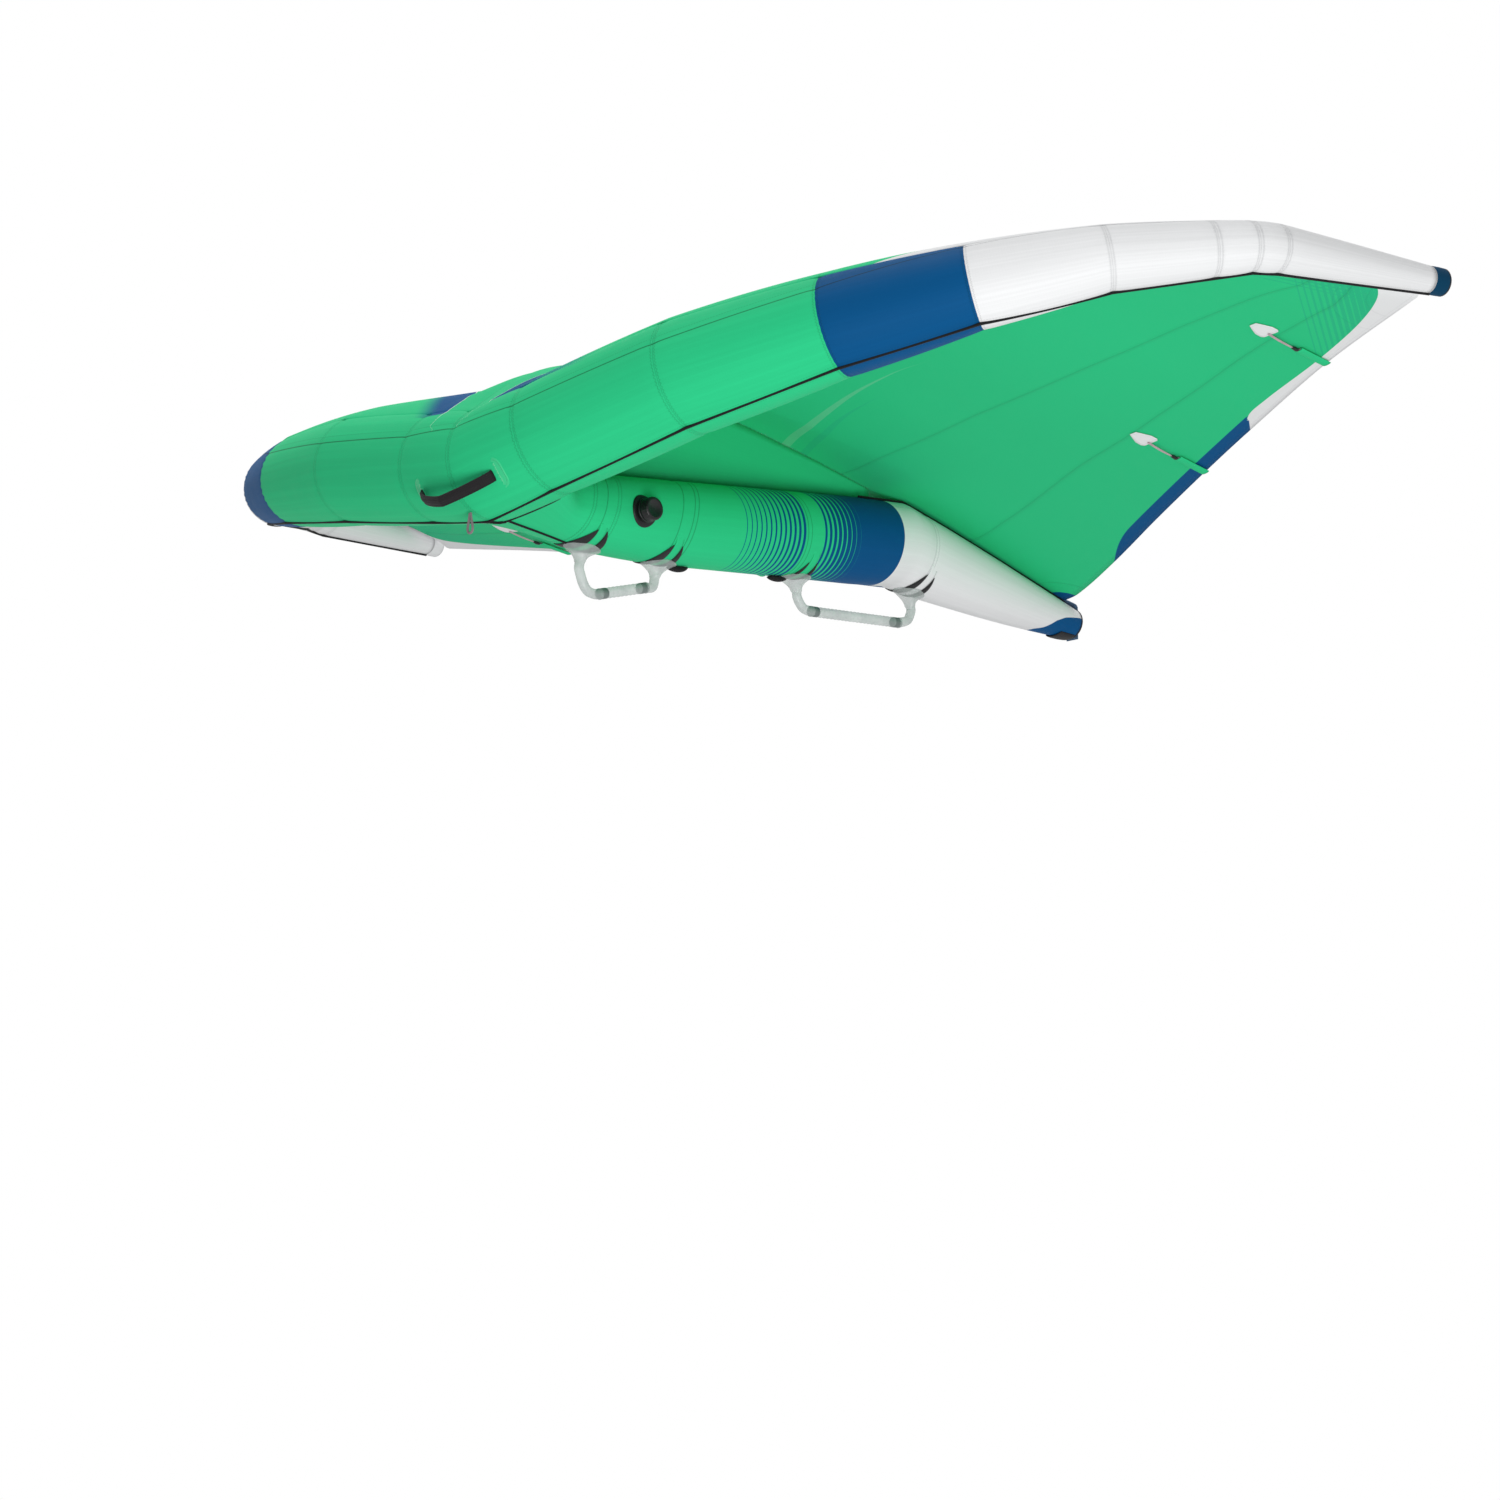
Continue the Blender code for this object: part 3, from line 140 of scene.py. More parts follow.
# Degrees in front of the tube's top at each bend: where the sail leaves the tube, where its seam is
# seen, and where the piping runs below
SAIL_LEAVES_AT = (30.0, 30.0, 30.0, 30.0, 28.0, 20.0, 10.0, 5.0, 2.0, 0.0)
TOP_SEAM_AT = (60.0, 66.0, 68.0, 59.0, 36.0, 10.0, -6.0, -3.0, -3.0, -3.0)
PIPING_AT = (178.0, 171.0, 164.5, 160.0, 164.0, 187.0, 189.0, 183.0, 176.0, 178.0)
# The trailing edge: share of the half span, of the chord, and of the tip's rise
TRAILING_EDGE = Table((
    (0.000, 1.000, 0.000), (0.040, 0.996, 0.030), (0.160, 0.948, 0.140), (0.300, 0.888, 0.292),
    (0.450, 0.827, 0.455), (0.566, 0.785, 0.591), (0.762, 0.716, 0.803), (0.967, 0.647, 0.949),
))
TRAILING_END = TRAILING_EDGE.keys[-1]
# The strut from front to rear: share of the chord, and of the strut's radius
STRUT_SHARES = (
    (0.038, 0.86), (0.110, 0.89), (0.190, 0.92), (0.265, 0.93), (0.340, 0.945), (0.420, 0.96),
    (0.496, 0.975), (0.597, 1.00), (0.672, 0.99), (0.737, 0.915), (0.796, 0.82), (0.854, 0.72),
    (0.903, 0.625), (0.944, 0.54), (0.985, 0.45), (1.019, 0.37),
)
# How far the strut's underside is lifted towards the leading edge, by distance behind the nose
STRUT_LIFTS = Table(((0.195, 0.0300), (0.235, 0.0215), (0.275, 0.0160), (0.315, 0.0114), (0.355, 0.0084),
                     (0.395, 0.0054), (0.435, 0.0032), (0.475, 0.0018), (0.520, 0.0)))
# Where the strut's flared front is sewn to the leading edge: degrees round the strut from its
# underside, distance from the middle, degrees in front of the tube's top
FLARE_ROOTS = Table(((0.0, 0.0, -156.0), (30.0, 0.070, -157.0), (60.0, 0.122, -154.0), (90.0, 0.135, -138.0),
                     (120.0, 0.112, -115.0), (150.0, 0.062, -97.0), (180.0, 0.0, -90.0)))
# The strut's blue patch at its mouth: degrees round from the underside, and where it starts
END_PATCH = ((0.0, 12.0, 28.0, 59.0, 78.0, 100.0), (1.748, 1.751, 1.772, 1.797, 1.826, 1.886))
# The prints over the nose, as shares of the half span and of the chord
NOSE_PRINTS = (
    ("print_right", ((0.030, -0.029), (0.087, -0.025), (0.130, -0.020), (0.207, -0.022), (0.215, 0.050),
                     (0.139, 0.046), (0.100, 0.030), (0.062, 0.002))),
    ("print_left", ((-0.055, -0.031), (-0.084, -0.030), (-0.130, -0.027), (-0.194, -0.021), (-0.247, 0.084),
                    (-0.122, 0.071), (-0.080, 0.036), (-0.060, 0.004))),
)
# The inner edge of the sail's white border, as shares of the half span and of the chord
WHITE_EDGE = (
    (0.445, 0.030), (0.545, 0.066), (0.598, 0.092), (0.650, 0.149), (0.694, 0.218), (0.746, 0.278),
    (0.824, 0.329), (0.880, 0.379), (0.921, 0.433), (0.936, 0.460), (0.954, 0.556), (0.944, 0.599),
    (0.908, 0.632), (0.839, 0.670), (0.745, 0.707), (0.641, 0.736), (0.591, 0.754), (0.560, 0.790),
    (0.530, 0.825),
)
# The two crescents on the sail: name, greatest half width, and middle line in the same shares
CRESCENTS = (
    ("white_crescent", 0.0115, ((0.366, 0.398), (0.303, 0.398), (0.192, 0.416), (0.027, 0.471),
                                (-0.106, 0.533), (-0.226, 0.599), (-0.300, 0.649))),
    ("blue_crescent", 0.0095, ((0.249, 0.433), (0.143, 0.455), (0.006, 0.511), (-0.076, 0.545),
                               (-0.151, 0.588))),
)
# Share of the way back at which each cross seam of the sail lies, by bend
CROSS_SEAMS = tuple(Table(rows) for rows in (
    ((0.0, 0.197), (1.43, 0.227), (2.2, 0.252), (3.27, 0.270), (4.75, 0.281), (9.0, 0.29)),
    ((0.0, 0.469), (2.62, 0.533), (3.52, 0.542), (4.13, 0.553), (5.42, 0.526), (5.7, 0.492), (9.0, 0.40)),
    ((0.0, 0.678), (1.06, 0.681), (1.94, 0.702), (3.15, 0.732), (4.27, 0.731), (5.74, 0.687), (9.0, 0.60)),
    ((0.0, 0.861), (1.98, 0.866), (2.68, 0.877), (3.62, 0.877), (5.42, 0.843), (7.63, 0.766), (9.0, 0.72)),
))
BENDS = len(LEADING_EDGE)
PLACES = tuple(float(i) for i in range(BENDS))


class Side(Enum):
    """The two halves of the wing."""

    RIGHT = 1.0
    LEFT = -1.0

    @property
    def word(self) -> str:
        """The half's name as the pieces use it."""
        return self.name.lower()


def path_frames(centres: Sequence[Vector]) -> list[tuple[Vector, Vector]]:
    """At each point of a path, its up direction and the side that lies right of the way along it."""
    frames = []
    for i, centre in enumerate(centres):
        before = (centre - centres[i - 1]).normalized() if i else None
        after = (centres[i + 1] - centre).normalized() if i + 1 < len(centres) else None
        along = ((before or after) + (after or before)).normalized()
        up = (Z_AXIS - along * along.z).normalized()
        frames.append((up, along.cross(up)))
    return frames


@dataclass
class WingShape:
    """The wing's forms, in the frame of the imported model."""

    half_span: float = 1.581
    chord: float = 1.860
    tip_rise: float = 0.308
    tube_radius: float = 0.122
    strut_radius: float = 0.101
    strut_front_drop: float = 0.0895
    strut_climb: float = 0.105
    sail_cloth: float = 0.0012
    cloth_gap: float = 0.0010
    front_tangent_least: float = 1.15
    grip_back: float = 0.371
    grip_drop: float = 0.2165
    middle_rows: int = 11
    rib_bulge_share: float = 0.012
    rib_bulge_at: float = 0.07
    nose_rise: float = 0.042
    nose_rise_at: float = 0.18
    nose_rise_reach: float = 0.9
    front_tuck: float = 0.0035
    plan_step: float = 0.001

    def __post_init__(self) -> None:
        """Work out the paths that everything else follows."""
        self.nose = Vector((0.0, -self.grip_back, self.grip_drop))
        right = [self.nose + Vector((self.half_span * x, self.chord * y, self.tip_rise * z))
                 for x, y, z, _ in LEADING_EDGE]
        self.tube_path = [self.flip(point) for point in reversed(right[1:])] + right
        self.bend_radii = [self.tube_radius * row[3] for row in LEADING_EDGE]
        self.tube_radii = self.bend_radii[:0:-1] + self.bend_radii
        self.tube_frames = path_frames(self.tube_path)
        self.bend_at = [0.0]
        for near, far in zip(right, right[1:]):
            self.bend_at.append(self.bend_at[-1] + (far - near).length)
        shares = [(j / (self.middle_rows - 1)) ** 1.25 for j in range(self.middle_rows)]
        self.middle = Table(tuple(self.sail(0.0, share) - self.nose)[1:] for share in shares)
        self.strut_sizes = Table((self.chord * back, self.strut_radius * radius) for back, radius in STRUT_SHARES)
        self.strut_path = [self.strut_axis(back) for back in self.strut_sizes.keys]
        self.strut_frames = path_frames(self.strut_path)

    @staticmethod
    def flip(point: Vector) -> Vector:
        """The same point on the other half."""
        return Vector((-point.x, point.y, point.z))

    def bend_width(self, bend: int) -> float:
        """The length of tube between one bend and the next."""
        return self.bend_at[min(bend + 1, BENDS - 1)] - self.bend_at[min(bend, BENDS - 2)]

    def run(self, place: float) -> float:
        """The distance along the tube from the nose, below zero on the left half."""
        return math.copysign(read(self.bend_at, abs(place)), place)

    @staticmethod
    def columns(cell: float, width: Callable[[int], float]) -> list[float]:
        """Places from tip to tip, those of the bends among them.

        Args:
            cell: How far apart the places are.
            width: How wide the cloth is between a bend and the next.

        Returns:
            The places.
        """
        right = [0.0]
        for bend in range(BENDS - 1):
            right += [bend + i for i in steps(0.0, 1.0, max(4, round(width(bend) / cell)))[1:]]
        return [-place for place in reversed(right[1:])] + right

    def tube(self, place: float, angle: float, offset: float = 0.0) -> Vector:
        """A point on the leading edge tube.

        Args:
            place: Bends from the nose, below zero on the left half.
            angle: Degrees from the tube's top towards its front.
            offset: How far outside the cloth the point is.

        Returns:
            The point.
        """
        spot = place + BENDS - 1
        index = min(int(spot), len(self.tube_path) - 2)
        turn = math.radians(angle)
        ends = []
        for i in (index, index + 1):
            up, front = self.tube_frames[i]
            out = up * math.cos(turn) + front * math.sin(turn)
            ends.append(self.tube_path[i] + out * (self.tube_radii[i] + offset))
        return ends[0].lerp(ends[1], spot - index)

    def tube_out(self, place: float, angle: float) -> Vector:
        """The direction straight out of the tube."""
        return (self.tube(place, angle, self.tube_radius) - self.tube(place, angle)).normalized()

    def trailing_edge(self, span_share: float) -> Vector:
        """A point of the trailing edge on the right half."""
        back, rise = TRAILING_EDGE.smooth(span_share)
        return self.nose + Vector((self.half_span * span_share, self.chord * back, self.tip_rise * rise))

    def sail(self, place: float, share: float) -> Vector:
        """A point of the sail's upper face.

        Args:
            place: Bends from the nose, below zero on the left half.
            share: Share of the way from the sail's front to the trailing edge.

        Returns:
            The point.
        """
        if place < 0.0:
            return self.flip(self.sail(-place, share))
        end_share, front_share, rear_share, slope = SAIL.smooth(place)
        angle = read(SAIL_LEAVES_AT, place)
        start = self.tube(place, angle, self.cloth_gap + self.sail_cloth)
        end = self.trailing_edge(end_share)
        along = self.tube_out(place, angle - 90.0)
        if place == 0.0:
            along.x = 0.0
        length = (end - start).length
        rear = Vector((end.x - start.x, end.y - start.y, 0.0)).normalized() * (rear_share * length)
        rear.z = -slope * rear.length
        reach = max(front_share * length, self.front_tangent_least * read(self.bend_radii, place))
        spot = curve_point((start, start + along * reach, end - rear, end), share)
        panel = place - math.floor(place)
        near_rib = share / self.rib_bulge_at * math.exp(1.0 - share / self.rib_bulge_at)
        spot.z += self.rib_bulge_share * self.bend_width(int(place)) * 4.0 * panel * (1.0 - panel) * near_rib
        crown = share / self.nose_rise_at * math.exp(1.0 - share / self.nose_rise_at)
        spot.z += self.nose_rise * math.exp(-((place / self.nose_rise_reach) ** 2)) * crown ** 2
        return spot - self.tube_out(place, angle) * (self.front_tuck * math.exp(-share / 0.003))

    def under_sail(self, x: float, y: float, drop: float) -> Vector:
        """A point below the sail's lower face at a place in plan behind the nose, on the right half."""
        place, share, step = 3.0, 0.8, self.plan_step
        for _ in range(12):
            here = self.sail(place, share) - self.nose
            by_place = (self.sail(place + step, share) - self.nose - here) / step
            by_share = (self.sail(place, share + step) - self.nose - here) / step
            det = by_place.x * by_share.y - by_place.y * by_share.x
            dx, dy = x - here.x, y - here.y
            place += (dx * by_share.y - dy * by_share.x) / det
            share += (dy * by_place.x - dx * by_place.y) / det
            place = min(max(place, 0.0), BENDS - 1.01)
        return Vector((x, y + self.nose.y, self.sail(place, share).z - self.sail_cloth - drop))

    def middle_height(self, back: float) -> float:
        """The height of the sail's upper face over the strut, above the nose."""
        if back > self.chord:
            return -(back - self.chord) * SAIL.rows[0][3]
        return self.middle.straight(back)[0]

    def strut_axis(self, back: float) -> Vector:
        """The strut's middle: a straight climb until the strut lies against the sail."""
        radius = self.strut_sizes.straight(back)[0]
        climb = back * self.strut_climb - self.strut_front_drop
        reach = self.strut_radius
        slope = (self.middle_height(back + reach) - self.middle_height(back - reach)) / (2.0 * reach)
        against = self.middle_height(back) - self.sail_cloth - self.cloth_gap * 2.0 - radius * math.hypot(1.0, slope)
        return self.nose + Vector((0.0, back, min(climb, against)))

    def strut(self, back: float, angle: float, offset: float = 0.0) -> Vector:
        """A point on the strut, the angle in degrees from its underside towards +X."""
        index, share = self.strut_sizes.find(back)
        turn = math.radians(angle)
        ends = []
        for i in (index, index + 1):
            up, side = self.strut_frames[i]
            out = side * math.sin(turn) - up * math.cos(turn)
            ends.append(self.strut_path[i] + out * (self.strut_sizes.rows[i][0] + offset))
        spot = ends[0].lerp(ends[1], share)
        if back < STRUT_LIFTS.keys[-1]:
            spot.z += STRUT_LIFTS.smooth(max(back, STRUT_LIFTS.keys[0]))[0] * max(math.cos(turn), 0.0)
        return spot

    def strut_beside(self, back: float, x: float, offset: float) -> Vector:
        """A point on the strut's underside at a distance from its middle line."""
        radius = self.strut_sizes.straight(back)[0]
        return self.strut(back, math.degrees(math.asin(min(max(x / radius, -1.0), 1.0))), offset)


def curve_point(guides: Sequence[Vector], share: float) -> Vector:
    """A point of the curve that four guide points give."""
    left = 1.0 - share
    return (guides[0] * left ** 3 + guides[1] * (3.0 * share * left ** 2)
            + guides[2] * (3.0 * share ** 2 * left) + guides[3] * share ** 3)


# Shader sums

def operator(operation: str, reflected: bool = False) -> Callable[..., "Value"]:
    """A method of a value that adds one Math node.

    Args:
        operation: The node's operation.
        reflected: Whether the other value comes first.

    Returns:
        The method.
    """
    def apply(self: "Value", other: "Value | float" = 0.0) -> "Value":
        """The node's result."""
        return self.paint.math(operation, *((other, self) if reflected else (self, other)))

    return apply


class Value:
    """A shader value that takes part in sums written as Python expressions."""

    def __init__(self, paint: "Paint", socket: bpy.types.NodeSocket) -> None:
        """Keep the paint that the value belongs to, and its socket."""
        self.paint = paint
        self.socket = socket

    __add__ = __radd__ = operator("ADD")
    __mul__ = __rmul__ = operator("MULTIPLY")
    __sub__ = operator("SUBTRACT")
    __rsub__ = operator("SUBTRACT", True)
    __truediv__ = operator("DIVIDE")
    __abs__ = operator("ABSOLUTE")
    over = operator("GREATER_THAN")
    under = operator("LESS_THAN")
    most = operator("MAXIMUM")
    least = operator("MINIMUM")

    def wave(self, period: float) -> "Value":
        """A zigzag from 0 to 1 and back in each period."""
        return self.paint.math("PINGPONG", self / (period / 2.0), 1.0)

    def rise(self, low: float, high: float, kind: str = "SMOOTHSTEP") -> "Value":
        """A step from 0 at the low value to 1 at the high one, smooth unless it says otherwise."""
        node = self.paint.node("ShaderNodeMapRange", {"Value": self, "From Min": low, "From Max": high},
                               interpolation_type=kind)
        return Value(self.paint, node.outputs["Result"])

    def edge(self, half_width: float = 0.0006) -> "Value":
        """1 above zero and 0 below it, with a sharp but not a jagged edge."""
        return self.rise(-half_width, half_width)

    def line(self, half_width: float, soft: float = 0.0004) -> "Value":
        """1 within half a width of zero, fading over a soft edge."""
        return 1.0 - abs(self).rise(half_width - soft, half_width + soft)

    def dashes(self, pitch: float = 0.006, low: float = 0.25, high: float = 0.45) -> "Value":
        """Dashes along a seam."""
        return self.wave(pitch).rise(low, high)


Feed = "Value | float | Colour | bpy.types.NodeSocket"


class Paint:
    """A material under way: its nodes, and the shader that they feed."""

    def __init__(self, name: str) -> None:
        """Start a material with its Principled shader."""
        self.material = bpy.data.materials.new(name)
        self.material.use_nodes = True
        self.tree = self.material.node_tree
        self.shader = self.tree.nodes["Principled BSDF"]

    def node(self, kind: str, feeds: dict, **settings: object) -> bpy.types.Node:
        """Add a node.

        Args:
            kind: The node's type.
            feeds: What goes into its sockets, by name or number.
            settings: The node's own settings, which are set first.

        Returns:
            The node.
        """
        made = self.tree.nodes.new(kind)
        for name, value in settings.items():
            setattr(made, name, value)
        for name, feed in feeds.items():
            self.feed(made.inputs[name], feed)
        return made

    def feed(self, socket: bpy.types.NodeSocket, feed: Feed) -> None:
        """Link a value to a socket, or write it there."""
        if isinstance(feed, (Value, bpy.types.NodeSocket)):
            self.tree.links.new(feed.socket if isinstance(feed, Value) else feed, socket)
        elif isinstance(feed, tuple) and socket.type == "RGBA":
            socket.default_value = (*feed, 1.0)
        else:
            socket.default_value = feed

    def math(self, operation: str, *terms: "Value | float") -> Value:
        """A Math node's result."""
        return Value(self, self.node("ShaderNodeMath", dict(enumerate(terms)), operation=operation).outputs[0])

    def attribute(self, name: str) -> Value:
        """A number that the mesh carries."""
        return Value(self, self.node("ShaderNodeAttribute", {}, attribute_name=name).outputs["Fac"])

    def parts(self, vector: bpy.types.NodeSocket) -> list[Value]:
        """A vector's three numbers."""
        return [Value(self, part) for part in self.node("ShaderNodeSeparateXYZ", {0: vector}).outputs]

    def cloth_map(self) -> list[Value]:
        """The piece's own map: metres along it and across it."""
        return self.parts(self.node("ShaderNodeUVMap", {}, uv_map="cloth").outputs[0])[:2]

    def place(self) -> list[Value]:
        """The three coordinates in the model's frame."""
        return self.parts(self.node("ShaderNodeTexCoord", {}).outputs["Object"])

    def noise_over(self, where: bpy.types.NodeSocket, scale: float, detail: float) -> Value:
        """Noise over a vector, around 0.5."""
        node = self.node("ShaderNodeTexNoise", {"Vector": where, "Scale": scale, "Detail": detail})
        return Value(self, node.outputs["Fac"])

    def noise(self, scale: float, detail: float = 2.0, stretch: Colour = (1.0, 1.0, 1.0)) -> Value:
        """Noise over the piece's place, around 0.5."""
        place = self.node("ShaderNodeTexCoord", {}).outputs["Object"]
        return self.noise_over(self.node("ShaderNodeMapping", {"Vector": place, "Scale": stretch}).outputs[0],
                               scale, detail)

    def blend(self, factor: Value, base: Feed, top: Feed) -> bpy.types.NodeSocket:
        """One colour over another by a factor."""
        return self.node("ShaderNodeMix", {0: factor, 6: base, 7: top}, data_type="RGBA").outputs[2]

    def tone(self, colour: Feed, level: Value) -> bpy.types.NodeSocket:
        """A colour made lighter or darker by a level round 1."""
        return self.node("ShaderNodeVectorMath", {0: colour, 1: level}, operation="MULTIPLY").outputs[0]

    def finish(self, colour: Feed, roughness: Feed, height: Value | None = None, depth: float = 0.001,
               **constants: float) -> bpy.types.Material:
        """Join the paint to the shader.

        Args:
            colour: The base colour.
            roughness: The roughness.
            height: The relief, from 0 to 1.
            depth: How deep the relief is, in metres.
            constants: Numbers for the shader's own sockets, an underscore for each space.

        Returns:
            The finished material.
        """
        self.feed(self.shader.inputs["Base Color"], colour)
        self.feed(self.shader.inputs["Roughness"], roughness)
        for name, value in constants.items():
            self.shader.inputs[name.replace("_", " ")].default_value = value
        if height is not None:
            bump = self.node("ShaderNodeBump", {"Height": height, "Distance": depth, "Strength": 1.0})
            self.feed(self.shader.inputs["Normal"], bump.outputs[0])
        return self.material


def srgb(red: float, green: float, blue: float) -> Colour:
    """A colour seen on a screen, 0 to 255, as the light it stands for."""
    return tuple(c / 12.92 if c <= 0.04045 else ((c + 0.055) / 1.055) ** 2.4
                 for c in (red / 255.0, green / 255.0, blue / 255.0))


@dataclass(frozen=True)
class Dyes:
    """The colours of the cloths and prints."""

    green: Colour = srgb(46, 205, 138)
    green_thread: Colour = srgb(34, 150, 96)
    light_green: Colour = srgb(120, 226, 170)
    white: Colour = srgb(238, 239, 240)
    white_thread: Colour = srgb(196, 198, 200)
    blue: Colour = srgb(6, 82, 136)
    deep_blue: Colour = srgb(10, 62, 92)
    black: Colour = srgb(24, 24, 26)


DYES = Dyes()


class Cloth:
    """Woven sailcloth: ripstop squares, a fine thread and soft creases."""

    ripstop = 0.0055
    stitch_reach = 0.0014
    stitch_pitch = 0.0075

    def __init__(self, paint: Paint, in_plan: bool = False) -> None:
        """Read the piece's map, or the plan, once for everything that follows it."""
        self.paint = paint
        self.along, self.across = paint.place()[:2] if in_plan else paint.cloth_map()

    def weave(self) -> Value:
        """How much the threads of the ripstop darken the cloth, from 0 to 1."""
        return self.along.wave(self.ripstop).most(self.across.wave(self.ripstop)).rise(0.84, 1.0)

    def crease(self, scale: float = 7.0) -> Value:
        """The soft unevenness of cloth under load."""
        return self.paint.noise(scale, 3.0, (1.0, 0.35, 1.0))

    def streaks(self) -> Value:
        """The fine creases that run along a tube under air."""
        where = self.paint.node("ShaderNodeCombineXYZ", {0: self.along * 1.5, 1: self.across * 75.0}).outputs[0]
        return self.paint.noise_over(where, 1.0, 3.0)

    def tube_level(self, crease_scale: float, streaks: Value, streak_highlight: float) -> Value:
        """How light a tube's cloth is: its ripstop, its soft creases, and a painted highlight along the ridges of its
        fine creases.
        """
        soft = (self.crease(crease_scale) - 0.5) * 0.05
        # The fine creases are painted lighter along their ridges: a painted highlight.
        return 0.98 - self.weave() * 0.025 + soft + streaks.rise(0.35, 0.75) * streak_highlight

    def stitches(self, distance: Value, run: Value, gap: float) -> Value:
        """Zigzag stitching on both sides of a seam.

        Args:
            distance: The distance to the seam.
            run: The distance along the seam.
            gap: How far from the seam the stitching runs.

        Returns:
            1 on the thread.
        """
        zigzag = (run.wave(self.stitch_pitch) - 0.5) * (2.0 * self.stitch_reach)
        return (abs(distance) - gap - zigzag).line(0.0010, 0.0006)


# Meshes

def new_piece(name: str, bm: bmesh.types.BMesh, *finishes: bpy.types.Material) -> bpy.types.Object:
    """A smooth-shaded piece in the scene, with its finishes."""
    mesh = bpy.data.meshes.new(name)
    bm.to_mesh(mesh)
    bm.free()
    mesh.shade_smooth()
    for finish in finishes:
        mesh.materials.append(finish)
    piece = bpy.data.objects.new(name, mesh)
    bpy.context.scene.collection.objects.link(piece)
    return piece


def add_piece(name: str, bm: bmesh.types.BMesh, finishes: Sequence[bpy.types.Material], slot: str, *nodes: str,
              body: str = "wing", wall: float = 0.0, offset: float = -1.0) -> bpy.types.Object:
    """A piece that rides on its body in place of the solids that it stands for.

    Args:
        name: The piece's name.
        bm: Its shape.
        finishes: Its finish, and that of its inner face where it has another.
        slot: The material slot of the record; not used.
        nodes: The solids that it stands for.
        body: The body that it rides on.
        wall: How thick an open surface becomes.
        offset: The side on which its wall lies: -1 inside, 1 outside.

    Returns:
        The piece.
    """
    piece = new_piece(name, bm, *finishes)
    if wall:
        shell = piece.modifiers.new("wall", "SOLIDIFY")
        shell.thickness = wall
        shell.offset = offset
        shell.material_offset = len(finishes) - 1
        shell.use_even_offset = True
    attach(piece, body)
    if nodes:
        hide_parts(*nodes)
    log.info("%s rides on %s: %d vertices", piece.name, body, len(piece.data.vertices))
    return piece


def mapped_grid(columns: Sequence[float], rows: Sequence[float], spot: Callable[[float, float], Vector],
                cloth: Callable[[float, float], Point] | None = None) -> bmesh.types.BMesh:
    """A grid whose points are moved to where a function puts them.

    Args:
        columns: The first value at each column.
        rows: The second value at each row.
        spot: The point for a pair of values.
        cloth: The point of the piece's own map for them, in metres.

    Returns:
        The grid, which carries both values as the layers column and row.
    """
    bm = bmesh.new()
    wide, high = len(columns) - 1, len(rows) - 1
    bmesh.ops.create_grid(bm, x_segments=wide, y_segments=high, size=0.5)
    column_layer = bm.verts.layers.float.new("column")
    row_layer = bm.verts.layers.float.new("row")
    for vertex in bm.verts:
        u = columns[round((vertex.co.x + 0.5) * wide)]
        v = rows[round((vertex.co.y + 0.5) * high)]
        vertex[column_layer], vertex[row_layer] = u, v
        vertex.co = spot(u, v)
    if cloth:
        uv_layer = bm.loops.layers.uv.new("cloth")
        for face in bm.faces:
            for loop in face.loops:
                loop[uv_layer].uv = cloth(loop.vert[column_layer], loop.vert[row_layer])
    return bm


def close_up(bm: bmesh.types.BMesh, ends: bool = False) -> bmesh.types.BMesh:
    """Merge the points that meet, close a tube's ends where asked, and turn the faces outwards."""
    bmesh.ops.remove_doubles(bm, verts=bm.verts, dist=0.00002)
    if ends:
        bmesh.ops.holes_fill(bm, edges=[edge for edge in bm.edges if edge.is_boundary], sides=0)
    bmesh.ops.recalc_face_normals(bm, faces=bm.faces)
    return bm


def face_up(bm: bmesh.types.BMesh, up: bool = True) -> bmesh.types.BMesh:
    """Turn an open sheet's faces up, or down."""
    bm.normal_update()
    if (sum(face.normal.z * face.calc_area() for face in bm.faces) > 0.0) != up:
        bmesh.ops.reverse_faces(bm, faces=bm.faces)
    return bm


def counted(path: Sequence[Vector]) -> list[float]:
    """The numbers of a path's points, as the columns of a grid."""
    return [float(i) for i in range(len(path))]


def runs_along(path: Sequence[Vector]) -> list[float]:
    """The distance along a path at each of its points."""
    runs = [0.0]
    for near, far in zip(path, path[1:]):
        runs.append(runs[-1] + (far - near).length)
    return runs


def sweep(path: Sequence[Vector], widths: Sequence[float], depths: Sequence[float], sides: int,
          across: Vector = X_AXIS) -> bmesh.types.BMesh:
    """A closed rod along a path.

    Args:
        path: The points of its middle line.
        widths: Half the rod's width at each of them.
        depths: Half its depth there.
        sides: How many sides it has.
        across: The direction of its width at the start, which is carried along the path.

    Returns:
        The rod.
    """
    last = len(path) - 1
    side, frames, runs = across, [], runs_along(path)
    for i in range(len(path)):
        along = (path[min(i + 1, last)] - path[max(i - 1, 0)]).normalized()
        side = (side - along * side.dot(along)).normalized()
        frames.append((side, along.cross(side)))

    def spot(index: float, turn: float) -> Vector:
        """A point on the rod."""
        i = round(index)
        wide, deep = frames[i]
        return path[i] + wide * (math.cos(turn) * widths[i]) + deep * (math.sin(turn) * depths[i])

    return close_up(mapped_grid(counted(path), steps(0.0, math.tau, sides), spot,
                                lambda index, turn: (runs[round(index)], turn * widths[round(index)])), True)


def set_up(bm: bmesh.types.BMesh, place: Vector, facing: Vector, up: str = "Y") -> bmesh.types.BMesh:
    """Turn a piece made along Z to face its way, and put it in its place."""
    turn = facing.to_track_quat("Z", up).to_matrix().to_4x4()
    bmesh.ops.transform(bm, matrix=Matrix.Translation(place) @ turn, verts=bm.verts)
    return bm


def spun(bm: bmesh.types.BMesh, count: int) -> bmesh.types.BMesh:
    """Spin all that a bmesh holds once round Z."""
    bmesh.ops.spin(bm, geom=[*bm.verts, *bm.edges], cent=(0.0, 0.0, 0.0), axis=(0.0, 0.0, 1.0), angle=math.tau,
                   steps=count, use_merge=True)
    return close_up(bm)


